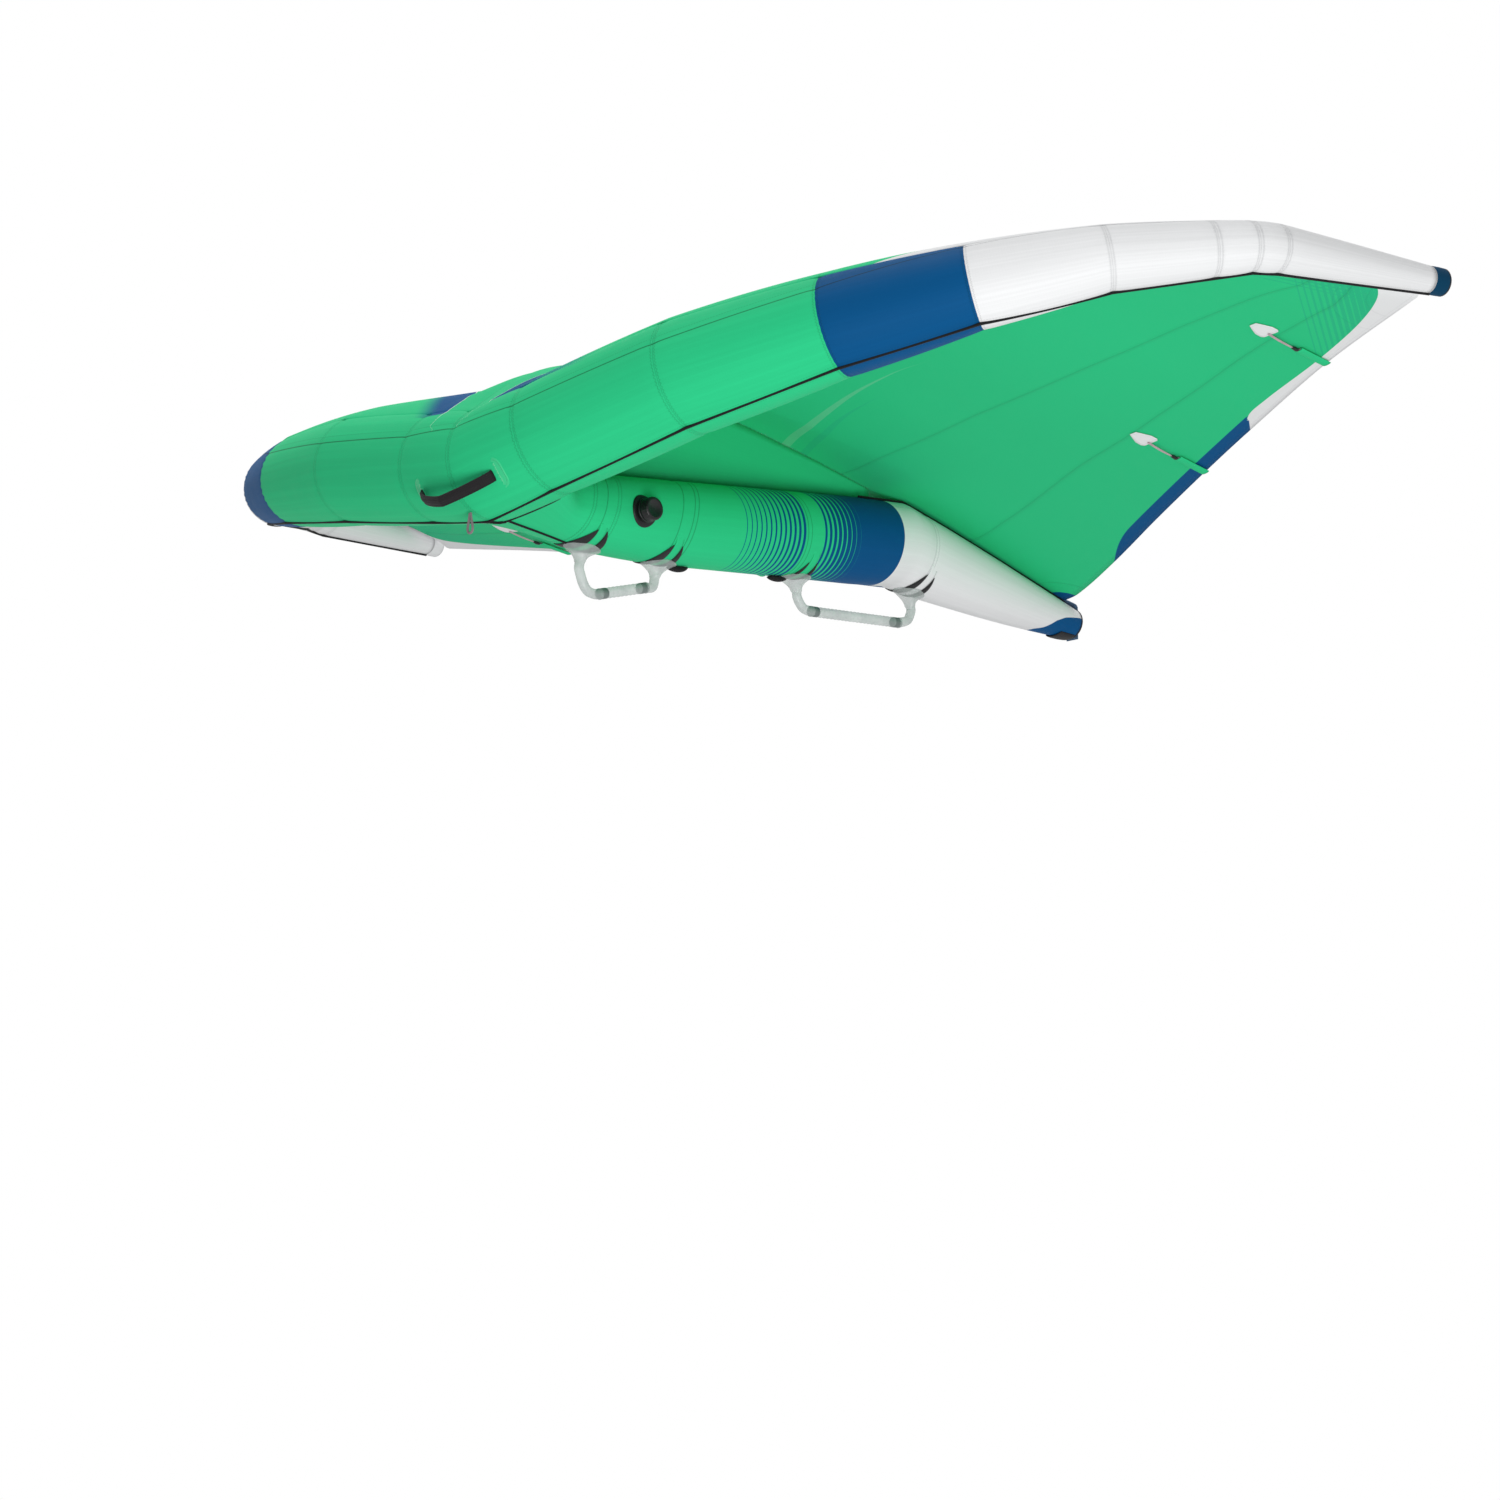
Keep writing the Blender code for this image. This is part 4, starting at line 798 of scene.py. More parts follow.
def turned(profile: Sequence[Point], count: int, place: Vector, facing: Vector) -> bmesh.types.BMesh:
    """A piece turned on a lathe.

    Args:
        profile: Its half outline: radius and height.
        count: How many steps it is turned in.
        place: Where its axis starts.
        facing: The way its axis points.

    Returns:
        The piece.
    """
    bm = bmesh.new()
    spots = [bm.verts.new((radius, 0.0, height)) for radius, height in profile]
    for pair in zip(spots, spots[1:]):
        bm.edges.new(pair)
    return set_up(spun(bm, count), place, facing)


def round_edges(piece: bpy.types.Object, width: float) -> None:
    """Take the edge off a piece's corners."""
    edges = piece.modifiers.new("edges", "BEVEL")
    edges.width = width
    edges.segments = 2
    edges.limit_method = "ANGLE"
    edges.angle_limit = math.radians(50.0)


def store(mesh: bpy.types.Mesh, name: str, values: np.ndarray) -> None:
    """Keep one number for each point of a mesh."""
    mesh.attributes.new(name, "FLOAT", "POINT").data.foreach_set("value", values.astype(np.float32))


def stored(mesh: bpy.types.Mesh, name: str) -> np.ndarray:
    """The numbers kept under a name."""
    values = np.zeros(len(mesh.vertices), np.float32)
    mesh.attributes[name].data.foreach_get("value", values)
    return values.astype(float)


def behind_nose(shape: WingShape, mesh: bpy.types.Mesh) -> tuple[np.ndarray, np.ndarray]:
    """The mesh's points in plan: along the span, and behind the nose."""
    values = np.zeros(len(mesh.vertices) * 3, np.float32)
    mesh.vertices.foreach_get("co", values)
    where = values.reshape(-1, 3).astype(float) - np.array(shape.nose)
    return where[:, 0], where[:, 1]


def beside_line(line: Sequence[Point], x: np.ndarray, y: np.ndarray) -> tuple[np.ndarray, np.ndarray]:
    """How far points of the plan lie from a line, and how far along it.

    Args:
        line: The line's points.
        x: The points' places along the span.
        y: The points' distances behind the nose.

    Returns:
        The distance, above zero right of the way along the line, and the share of the line's length.
    """
    lengths = [math.dist(a, b) for a, b in zip(line, line[1:])]
    total, run = sum(lengths), 0.0
    best = np.full(x.shape, 1e9)
    side, share = np.zeros(x.shape), np.zeros(x.shape)
    for (ax, ay), (bx, by), length in zip(line, line[1:], lengths):
        dx, dy = (bx - ax) / length, (by - ay) / length
        along = np.clip((x - ax) * dx + (y - ay) * dy, 0.0, length)
        gap = np.hypot(x - ax - along * dx, y - ay - along * dy)
        nearer = gap < best
        best = np.where(nearer, gap, best)
        side = np.where(nearer, np.sign((x - ax) * dy - (y - ay) * dx), side)
        share = np.where(nearer, (run + along) / total, share)
        run += length
    return best * np.where(side < 0.0, -1.0, 1.0), share


def inside_outline(outline: Sequence[Point], x: np.ndarray, y: np.ndarray) -> np.ndarray:
    """How deep points of the plan lie inside a closed outline, below zero outside it."""
    gap = np.abs(beside_line([*outline, outline[0]], x, y)[0])
    inside = np.zeros(x.shape, bool)
    for (ax, ay), (bx, by) in zip(outline, [*outline[1:], outline[0]]):
        if ay != by:
            inside ^= ((ay > y) != (by > y)) & (x < (bx - ax) * (y - ay) / (by - ay) + ax)
    return np.where(inside, gap, -gap)


# Finishes

@dataclass(frozen=True)
class NosePrints:
    """Two blue shapes over the nose: one thins out in stripes, the other fades, and both have a white rim."""

    shape: WingShape
    stripe_pitch: float = 0.0066
    stripe_lean: float = 0.30
    thins_from: float = 0.125
    thins_over: float = 0.210
    fades: tuple[float, float] = (0.160, 0.248)

    def mark(self, mesh: bpy.types.Mesh) -> None:
        """Keep with each point how deep it lies in the prints, and how far from their rims."""
        x, y = behind_nose(self.shape, mesh)
        for name, shares in NOSE_PRINTS:
            outline = self.shape_outline(shares)
            store(mesh, name, inside_outline(outline, x, y))
            store(mesh, name + "_rim", beside_line([outline[0], *outline[:-4:-1]], x, y)[0])

    def shape_outline(self, shares: Sequence[Point]) -> list[Point]:
        """An outline's points in metres."""
        return [(x * self.shape.half_span, y * self.shape.chord) for x, y in shares]

    def colours(self, paint: Paint, x: Value, back: Value, base: Feed, strength: Value | float) -> Feed:
        """Lay the prints over a colour.

        Args:
            paint: The material under way.
            x: The place along the span.
            back: The distance behind the nose.
            base: The colour under the prints.
            strength: How strongly the prints show.

        Returns:
            The colour with the prints on it.
        """
        stripes = (x - back * self.stripe_lean).wave(self.stripe_pitch)
        striped = (1.02 - (x - self.thins_from) / self.thins_over - stripes).edge(0.08)
        faded = 1.0 - (0.0 - x - back * 0.87).rise(*self.fades)
        for (name, _), share, half in zip(NOSE_PRINTS, (striped, faded), (x.over(0.0), x.under(0.0))):
            base = paint.blend(paint.attribute(name).edge() * share * strength, base, DYES.blue)
            rim = paint.attribute(name + "_rim").line(0.0012, 0.0005) * half
            base = paint.blend(rim * strength, base, DYES.white)
        return base


@dataclass(frozen=True)
class TubeCloth:
    """Green, blue and white tube cloth with its seams and the front of the nose's prints."""

    shape: WingShape
    blue_from: float = 3.0
    white_from: float = 4.0
    print_reach: float = 0.25

    def make(self) -> bpy.types.Material:
        """The material."""
        paint = Paint("tube_cloth")
        cloth = Cloth(paint)
        bend, ring = paint.attribute("bend"), paint.attribute("ring")
        top_seam, low_seam = paint.attribute("top_seam"), paint.attribute("low_seam")
        is_blue = bend.over(self.blue_from) * bend.under(self.white_from)
        is_white = bend.over(self.white_from)
        colour = paint.blend(is_white, paint.blend(is_blue, DYES.green, DYES.blue), DYES.white)
        x, y = paint.place()[:2]
        on_top = top_seam.under(0.0) * top_seam.over(-self.print_reach) * bend.under(self.blue_from)
        colour = NosePrints(self.shape).colours(paint, x, y - self.shape.nose.y, colour, on_top)
        thread = paint.blend(is_white, DYES.green_thread, DYES.white_thread)
        thread = paint.blend(is_blue, thread, DYES.deep_blue)
        stitches = cloth.stitches(ring, cloth.across, 0.0045)
        fold = ring.line(0.0006)
        dashes = cloth.along.dashes()
        over_top = abs(top_seam + 0.016).line(0.0010) * dashes
        below = (abs(low_seam) - 0.0085).line(0.0009) * dashes
        marks = (stitches * 0.55).most(fold * 0.25).most(over_top * 0.6).most(below * 0.6)
        colour = paint.blend(marks * 0.7, colour, thread)
        seam = top_seam.line(0.0014, 0.0005) * bend.under(7.9)
        colour = paint.blend(seam, colour, paint.tone(thread, 0.75 + cloth.weave() * 0.1))
        streaks = cloth.streaks()
        # The tone also paints a highlight along the ridges of the fine creases.
        colour = paint.tone(colour, cloth.tube_level(3.0, streaks, 0.055))
        height = cloth.crease(9.0) * 0.6 + streaks * 0.30 + stitches * 0.25 - fold * 0.4 - cloth.weave() * 0.04
        return paint.finish(colour, 0.56 + cloth.crease(20.0) * 0.1, height, 0.0016, Sheen_Weight=0.01,
                            Specular_IOR_Level=0.06)


@dataclass(frozen=True)
class SailCloth:
    """Printed sailcloth, from above or from below, where the prints only shine through and the green has a little
    painted shade.
    """

    shape: WingShape
    upper: bool
    halftone_corner: Point = (0.863, 0.532)
    halftone_ends: tuple[Point, Point] = ((0.7305, 0.2656), (0.736, 0.7194))
    halftone_pitch: float = 0.0132
    halftone_depth: float = 0.150
    corner_radius: float = 0.054
    arc_radius: float = 0.100
    tip_arcs: tuple[float, float] = (0.105, 0.175)

    def make(self) -> bpy.types.Material:
        """The material."""
        paint = Paint("sail_cloth" if self.upper else "sail_cloth_below")
        cloth = Cloth(paint, in_plan=True)
        x, back = cloth.along, cloth.across - self.shape.nose.y
        bend, rib = paint.attribute("bend"), paint.attribute("rib")
        is_white = paint.attribute("white_edge").edge()
        on_tube = paint.attribute("tube_zone").edge(0.0005)
        colour = self.prints(paint, x, back, is_white)
        tube = paint.blend(bend.over(4.0), DYES.green, DYES.white)
        colour = paint.blend(on_tube, colour, paint.blend(bend.over(3.0) * bend.under(4.0), tube, DYES.blue))
        cross = [paint.attribute(f"cross_seam_{number}") for number in range(1, len(CROSS_SEAMS) + 1)]
        seams, laps = cross[0].line(0.0016, 0.0008), cross[0].line(0.0070)
        for distance in cross[1:]:
            seams, laps = seams.most(distance.line(0.0016, 0.0008)), laps.most(distance.line(0.0070))
        seams = seams.most(rib.line(0.0014, 0.0008) * (cross[0].under(0.0) * (1.0 - on_tube)))
        middle = abs(x).line(0.0018, 0.0008)
        arc = (paint.attribute("corner") - self.arc_radius).line(0.0016, 0.0010)
        hem = (paint.attribute("to_edge") - 0.012).line(0.0007, 0.0005) * cloth.along.dashes()
        near, far = ((paint.attribute("tip_corner") - radius).line(0.0012, 0.0008) for radius in self.tip_arcs)
        seams = (seams * (1.0 - is_white)).most(middle * 0.8).most(arc).most(near.most(far) * 0.5).most(hem * 0.6)
        dark = paint.tone(colour, 0.74 + paint.noise(40.0) * 0.1)
        colour = paint.blend(seams * (0.8 if self.upper else 0.55), colour, dark)
        rim = paint.attribute("tube_zone").line(0.0016, 0.0006) * bend.over(3.9)
        colour = paint.blend(rim * 0.35, colour, paint.tone(colour, paint.noise(30.0)))
        level = 1.0 - laps * 0.045 * (1.0 - is_white) - cloth.weave() * 0.02 + (cloth.crease(2.2) - 0.5) * 0.05
        height = cloth.crease(6.0) + seams * 0.25 + laps * 0.12 + cloth.weave() * 0.05
        return paint.finish(paint.tone(colour, level), 0.58 + cloth.crease(14.0) * 0.08, height, 0.0022,
                            Sheen_Weight=0.01, Specular_IOR_Level=0.05)

    def prints(self, paint: Paint, x: Value, back: Value, is_white: Value) -> Feed:
        """The cloth's colour with everything that is printed on it.

        Args:
            paint: The material under way.
            x: The place along the span.
            back: The distance behind the nose.
            is_white: 1 on the white border.

        Returns:
            The colour.
        """
        # From below, the green is painted 3% darker: painted shade of the underside.
        green = DYES.green if self.upper else tuple(c * 0.97 for c in DYES.green)
        halftone = self.halftone(paint, x, back) * (1.0 - is_white)
        colour = paint.blend(halftone * (1.0 if self.upper else 0.16), green, DYES.blue)
        for (name, _, _), dye, below in zip(CRESCENTS, (DYES.white, DYES.blue), (0.09, 0.10)):
            depth = paint.attribute(name + "_half") - abs(paint.attribute(name))
            colour = paint.blend(depth.edge() * (1.0 if self.upper else below), colour, dye)
        colour = NosePrints(self.shape).colours(paint, x, back, colour, 1.0 if self.upper else 0.2)
        colour = paint.blend(is_white, colour, DYES.white)
        colour = paint.blend(paint.attribute("blue_band").edge(0.0005), colour, DYES.blue)
        corner = 1.0 - (paint.attribute("corner") - self.corner_radius).edge(0.0005)
        return paint.blend(corner, colour, DYES.blue)

    def halftone(self, paint: Paint, x: Value, back: Value) -> Value:
        """Two sets of lines that cross and thicken towards the tip."""
        span, chord = self.shape.half_span, self.shape.chord
        inner = (self.halftone_corner[0] * span, self.halftone_corner[1] * chord)
        masks = []
        for (end_x, end_y), sign in zip(self.halftone_ends, (1.0, -1.0)):
            end = (end_x * span, end_y * chord)
            length = math.dist(end, inner)
            dx, dy = (inner[0] - end[0]) / length, (inner[1] - end[1]) / length
            gap = ((abs(x) - inner[0]) * dy - (back - inner[1]) * dx) * sign
            duty = (gap / self.halftone_depth * 0.80).least(0.80) + 0.14
            lines = (duty - gap.wave(self.halftone_pitch)).rise(-0.06, 0.06, "LINEAR")
            masks.append(lines * gap.over(self.halftone_pitch * 0.25))
        return masks[0].most(masks[1])


@dataclass(frozen=True)
class StrutCloth:
    """Green cloth, thin blue rings that grow into a blue band, then white."""

    strut: "Strut"
    stripes_from: float = 0.674
    stripe_pitch: float = 0.0152
    stripe_count: int = 13
    blue_from: float = 0.921
    solid_from: float = 1.040
    white_from: float = 1.187
    gap_lines: tuple[float, float] = (0.868, 0.880)

    def make(self) -> bpy.types.Material:
        """The material."""
        paint, strut, pitch = Paint("strut_cloth"), self.strut, self.stripe_pitch
        cloth = Cloth(paint)
        back, across = cloth.along, cloth.across
        turn, level = paint.attribute("turn"), paint.attribute("level")
        ring = back - self.stripes_from
        last = pitch * (self.stripe_count - 0.5)
        rings = (ring / last * 0.40 + 0.14 - ring.wave(pitch)).edge(0.07) * ring.over(-pitch * 0.4) * ring.under(last)
        zone = back - self.blue_from
        gap_duty = 0.56 - zone / (self.solid_from - self.blue_from) * 0.56
        gaps = (gap_duty - (zone - pitch * 0.8).wave(pitch)).edge(0.07)
        band = zone.over(0.0) * (1.0 - gaps * back.under(self.solid_from))
        colour = paint.blend(rings.most(band), DYES.green, DYES.blue)
        is_white = (back - self.white_from).edge()
        colour = paint.blend(is_white, colour, DYES.white)
        colour = paint.blend(paint.attribute("end_patch").edge() * turn.under(101.0), colour, DYES.blue)
        marks = (back - strut.rear_seam).line(0.0010) * 0.6
        for at in (strut.first_ring, strut.double_ring, strut.double_ring + 0.034, strut.double_ring + 0.046):
            marks = marks.most((level - at).line(0.0014) * 0.9)
        for seam in (level - (strut.flare_from + 0.002), level - (strut.first_ring + 0.034),
                     back - (strut.rear_seam + 0.006)):
            marks = marks.most(cloth.stitches(seam, across, 0.0042) * 0.8)
        lengthwise = abs(turn - 138.0).line(0.8, 0.4) * back.over(self.white_from) * back.dashes(high=0.4)
        marks = marks.most(lengthwise * 0.9)
        colour = paint.blend(marks * 0.8, colour, paint.blend(is_white, DYES.green_thread, DYES.white_thread))
        near, far = ((back - at).line(half) for at, half in zip(self.gap_lines, (0.0012, 0.0010)))
        colour = paint.blend(near.most(far) * 0.8, colour, DYES.green_thread)
        streaks = cloth.streaks()
        # The tone also paints a highlight along the ridges of the fine creases.
        colour = paint.tone(colour, cloth.tube_level(4.0, streaks, 0.04))
        height = cloth.crease(9.0) * 0.6 + marks * 0.2 + streaks * 0.15 - cloth.weave() * 0.04
        return paint.finish(colour, 0.56 + cloth.crease(20.0) * 0.1, height, 0.0014, Sheen_Weight=0.01,
                            Specular_IOR_Level=0.06)


@dataclass(frozen=True)
class WebCloth:
    """Green cloth with painted shade: darker towards the strut, where no light comes."""

    lit_from: float = 0.05

    def make(self) -> bpy.types.Material:
        """The material."""
        paint = Paint("web_cloth")
        cloth = Cloth(paint)
        # Painted shade: the cloth is painted darker near the strut, where light doesn't reach.
        depth = 0.62 + cloth.across.rise(0.0, self.lit_from) * 0.30
        return paint.finish(paint.tone(DYES.green, depth - cloth.weave() * 0.03), 0.6, cloth.crease(12.0), 0.0012,
                            Sheen_Weight=0.02, Specular_IOR_Level=0.1)


@dataclass(frozen=True)
class PlainCloth:
    """Sailcloth of one colour."""

    name: str
    dye: Colour

    def make(self) -> bpy.types.Material:
        """The material."""
        paint = Paint(self.name)
        cloth = Cloth(paint)
        level = 1.0 - cloth.weave() * 0.03 + (cloth.crease(6.0) - 0.5) * 0.06
        return paint.finish(paint.tone(self.dye, level), 0.58 + cloth.crease(20.0) * 0.1,
                            cloth.crease(12.0) - cloth.weave() * 0.05, 0.0012, Sheen_Weight=0.01,
                            Specular_IOR_Level=0.06)


@dataclass(frozen=True)
class GrabPatchCloth:
    """Green cloth with an arch of stitches, and the slot that the grab handle goes into."""

    half_width: float
    half_height: float = 0.0357
    arch: float = 0.72
    slot_at: float = 0.0085
    slot_reach: float = 0.024

    def make(self) -> bpy.types.Material:
        """The material."""
        paint = Paint("patch_cloth")
        cloth = Cloth(paint)
        wide, high = cloth.along / self.half_width, cloth.across / self.half_height
        edge = (wide * wide + high * high * high * high - self.arch).line(0.045, 0.030)
        dashes = (cloth.along + cloth.across).dashes(0.004, 0.3, 0.5)
        colour = paint.blend(edge * dashes * 0.85, DYES.green, DYES.green_thread)
        slot = (abs(cloth.along) - self.slot_at).line(0.0008, 0.0004) * abs(cloth.across).under(self.slot_reach)
        colour = paint.blend(slot * 0.6, colour, DYES.light_green)
        height = cloth.crease(20.0) * 0.3 + slot * 0.5 - edge * 0.3
        return paint.finish(paint.tone(colour, 0.97 + cloth.crease(9.0) * 0.06), 0.55, height, 0.0008,
                            Sheen_Weight=0.12)


@dataclass(frozen=True)
class BattenTagCloth:
    """White cloth with rows of stitches inside its edges."""

    side_seam: float = 0.0185
    end_seams: tuple[float, float] = (0.006, 0.058)

    def make(self) -> bpy.types.Material:
        """The material."""
        paint = Paint("batten_patch_cloth")
        cloth = Cloth(paint)
        edge = (abs(cloth.across) - self.side_seam).line(0.0006, 0.0004)
        for at in self.end_seams:
            edge = edge.most((cloth.along - at).line(0.0006, 0.0004))
        colour = paint.blend(edge * 0.5, DYES.white, DYES.white_thread)
        return paint.finish(colour, 0.6, cloth.crease(30.0), 0.0008, Sheen_Weight=0.1)


@dataclass(frozen=True)
class Film:
    """The pale film of the bladders."""

    thin: Colour = srgb(196, 200, 198)
    thick: Colour = srgb(226, 228, 226)

    def make(self) -> bpy.types.Material:
        """The material."""
        paint = Paint("bladder_film")
        cloud = paint.noise(9.0, 3.0)
        return paint.finish(paint.blend(cloud.rise(0.35, 0.7), self.thin, self.thick), 0.25 + cloud * 0.2, cloud,
                            0.002, Transmission_Weight=0.15)


@dataclass(frozen=True)
class PaleMoulding:
    """The pale, slightly see-through plastic of the handles."""

    dark: Colour = srgb(176, 186, 184)
    light: Colour = srgb(206, 214, 212)

    def make(self) -> bpy.types.Material:
        """The material."""
        paint = Paint("pale_moulding")
        cloud = paint.noise(26.0, 3.0)
        return paint.finish(paint.blend(cloud.rise(0.3, 0.7), self.dark, self.light), 0.24 + cloud * 0.10,
                            paint.noise(160.0), 0.00015, Alpha=0.50, Specular_IOR_Level=0.4)


@dataclass(frozen=True)
class Webbing:
    """Woven webbing or cord of one colour."""

    dye: Colour
    pitch: float

    def make(self) -> bpy.types.Material:
        """The material."""
        paint = Paint("webbing")
        along, across = paint.cloth_map()
        weave = (along.wave(self.pitch) - across.wave(self.pitch * 0.8)).edge(0.4)
        level = 0.80 + weave * 0.35 + (paint.noise(60.0) - 0.5) * 0.2
        return paint.finish(paint.tone(self.dye, level), 0.75 + weave * 0.1, weave, 0.0006, Sheen_Weight=0.02,
                            Specular_IOR_Level=0.2)


@dataclass(frozen=True)
class Moulded:
    """Moulded plastic or rubber with a faint grain."""

    name: str
    tint: Colour
    roughness: float

    def make(self) -> bpy.types.Material:
        """The material."""
        paint = Paint(self.name)
        grain = paint.noise(220.0, 2.0)
        level = 0.94 + paint.noise(14.0) * 0.12
        return paint.finish(paint.tone(self.tint, level), self.roughness + grain * 0.12, grain, 0.0002,
                            Specular_IOR_Level=0.3)


# Sub-assemblies

@dataclass
class LeadingEdge:
    """The bent front tube: its cloth, its bladder and the piping below it."""

    shape: WingShape
    column_step: float = 0.016
    around: int = 84
    wall: float = 0.0016
    pinch: float = 0.0014
    pinch_reach: float = 0.012
    swell: float = 0.0020
    pucker: float = 0.0009
    pucker_count: float = 46.0
    piping_radius: float = 0.0032
    piping_sides: int = 8
    bladder_gap: float = 0.0045

    def places(self) -> list[float]:
        """The places of the columns."""
        return self.shape.columns(self.column_step, self.shape.bend_width)

    def to_seam(self, place: float) -> float:
        """The distance along the tube to the nearest sewn bend."""
        here = read(self.shape.bend_at, abs(place))
        return min(abs(here - at) for at in self.shape.bend_at)

    def skin(self, place: float, angle: float) -> Vector:
        """The cloth between its seams: swollen by the air, drawn in and puckered at each seam."""
        index = min(int(abs(place)), BENDS - 2)
        near = math.exp(-((self.to_seam(place) / self.pinch_reach) ** 2))
        swell = self.swell * math.sin(math.pi * (abs(place) - index)) * (1.0 if index < 5 else 0.3)
        rear = 0.5 - 0.5 * math.cos(math.radians(angle + 90.0))
        crinkle = self.pucker * near * (0.35 + rear) * math.sin(math.radians(angle) * self.pucker_count)
        tip = ease(abs(place), BENDS - 1.08, BENDS - 1.0)
        return self.shape.tube(place, angle, (swell - self.pinch * near + crinkle) * (1.0 - tip))

    def build_cloth(self) -> None:
        """The sewn tube."""
        shape = self.shape
        bm = mapped_grid(self.places(), steps(-180.0, 180.0, self.around), self.skin,
                         lambda place, angle: (shape.run(place), math.radians(angle) * shape.tube_radius))
        piece = add_piece("leading_edge_cloth", close_up(bm), [TubeCloth(shape).make()], "green_cloth",
                          "leading_edge_sleeve", wall=self.wall)
        mesh = piece.data
        column, row = np.abs(stored(mesh, "column")), stored(mesh, "row")
        store(mesh, "bend", column)
        store(mesh, "ring", np.array([self.to_seam(place) for place in column]))
        radius = np.interp(column, PLACES, shape.bend_radii)
        for name, angles in (("top_seam", TOP_SEAM_AT), ("low_seam", PIPING_AT)):
            turn = (row - np.interp(column, PLACES, angles) + 180.0) % 360.0 - 180.0
            store(mesh, name, np.radians(turn) * radius)
        NosePrints(shape).mark(mesh)

    def build_bladder(self) -> None:
        """The air bladder inside the cloth."""
        places = [place for place in self.places() if abs(place) < BENDS - 1.09][::3]
        bm = mapped_grid(places, steps(-180.0, 180.0, 36),
                         lambda place, angle: self.shape.tube(place, angle, -self.bladder_gap),
                         lambda place, angle: (place, angle / 360.0))
        piece = add_piece("leading_edge_air_bladder", close_up(bm, True), [Film().make()], "bladder_film",
                          "leading_edge_bladder")

    def build_piping(self) -> None:
        """The black cord sewn into the seam under the tube."""
        shape, radius = self.shape, self.piping_radius

        def spot(place: float, turn: float) -> Vector:
            """A point on the cord's surface."""
            angle = read(PIPING_AT, abs(place))
            out, side = shape.tube_out(place, angle), shape.tube_out(place, angle + 90.0)
            return shape.tube(place, angle, radius * 0.45) + (out * math.cos(turn) + side * math.sin(turn)) * radius

        bm = mapped_grid(self.places(), steps(0.0, math.tau, self.piping_sides), spot,
                         lambda place, turn: (shape.run(place), turn * radius))
        add_piece("leading_edge_piping", close_up(bm, True), [Webbing(DYES.black, 0.003).make()], "black_webbing")

    def build(self) -> None:
        """Every piece of the tube."""
        self.build_cloth()
        self.build_bladder()
        self.build_piping()


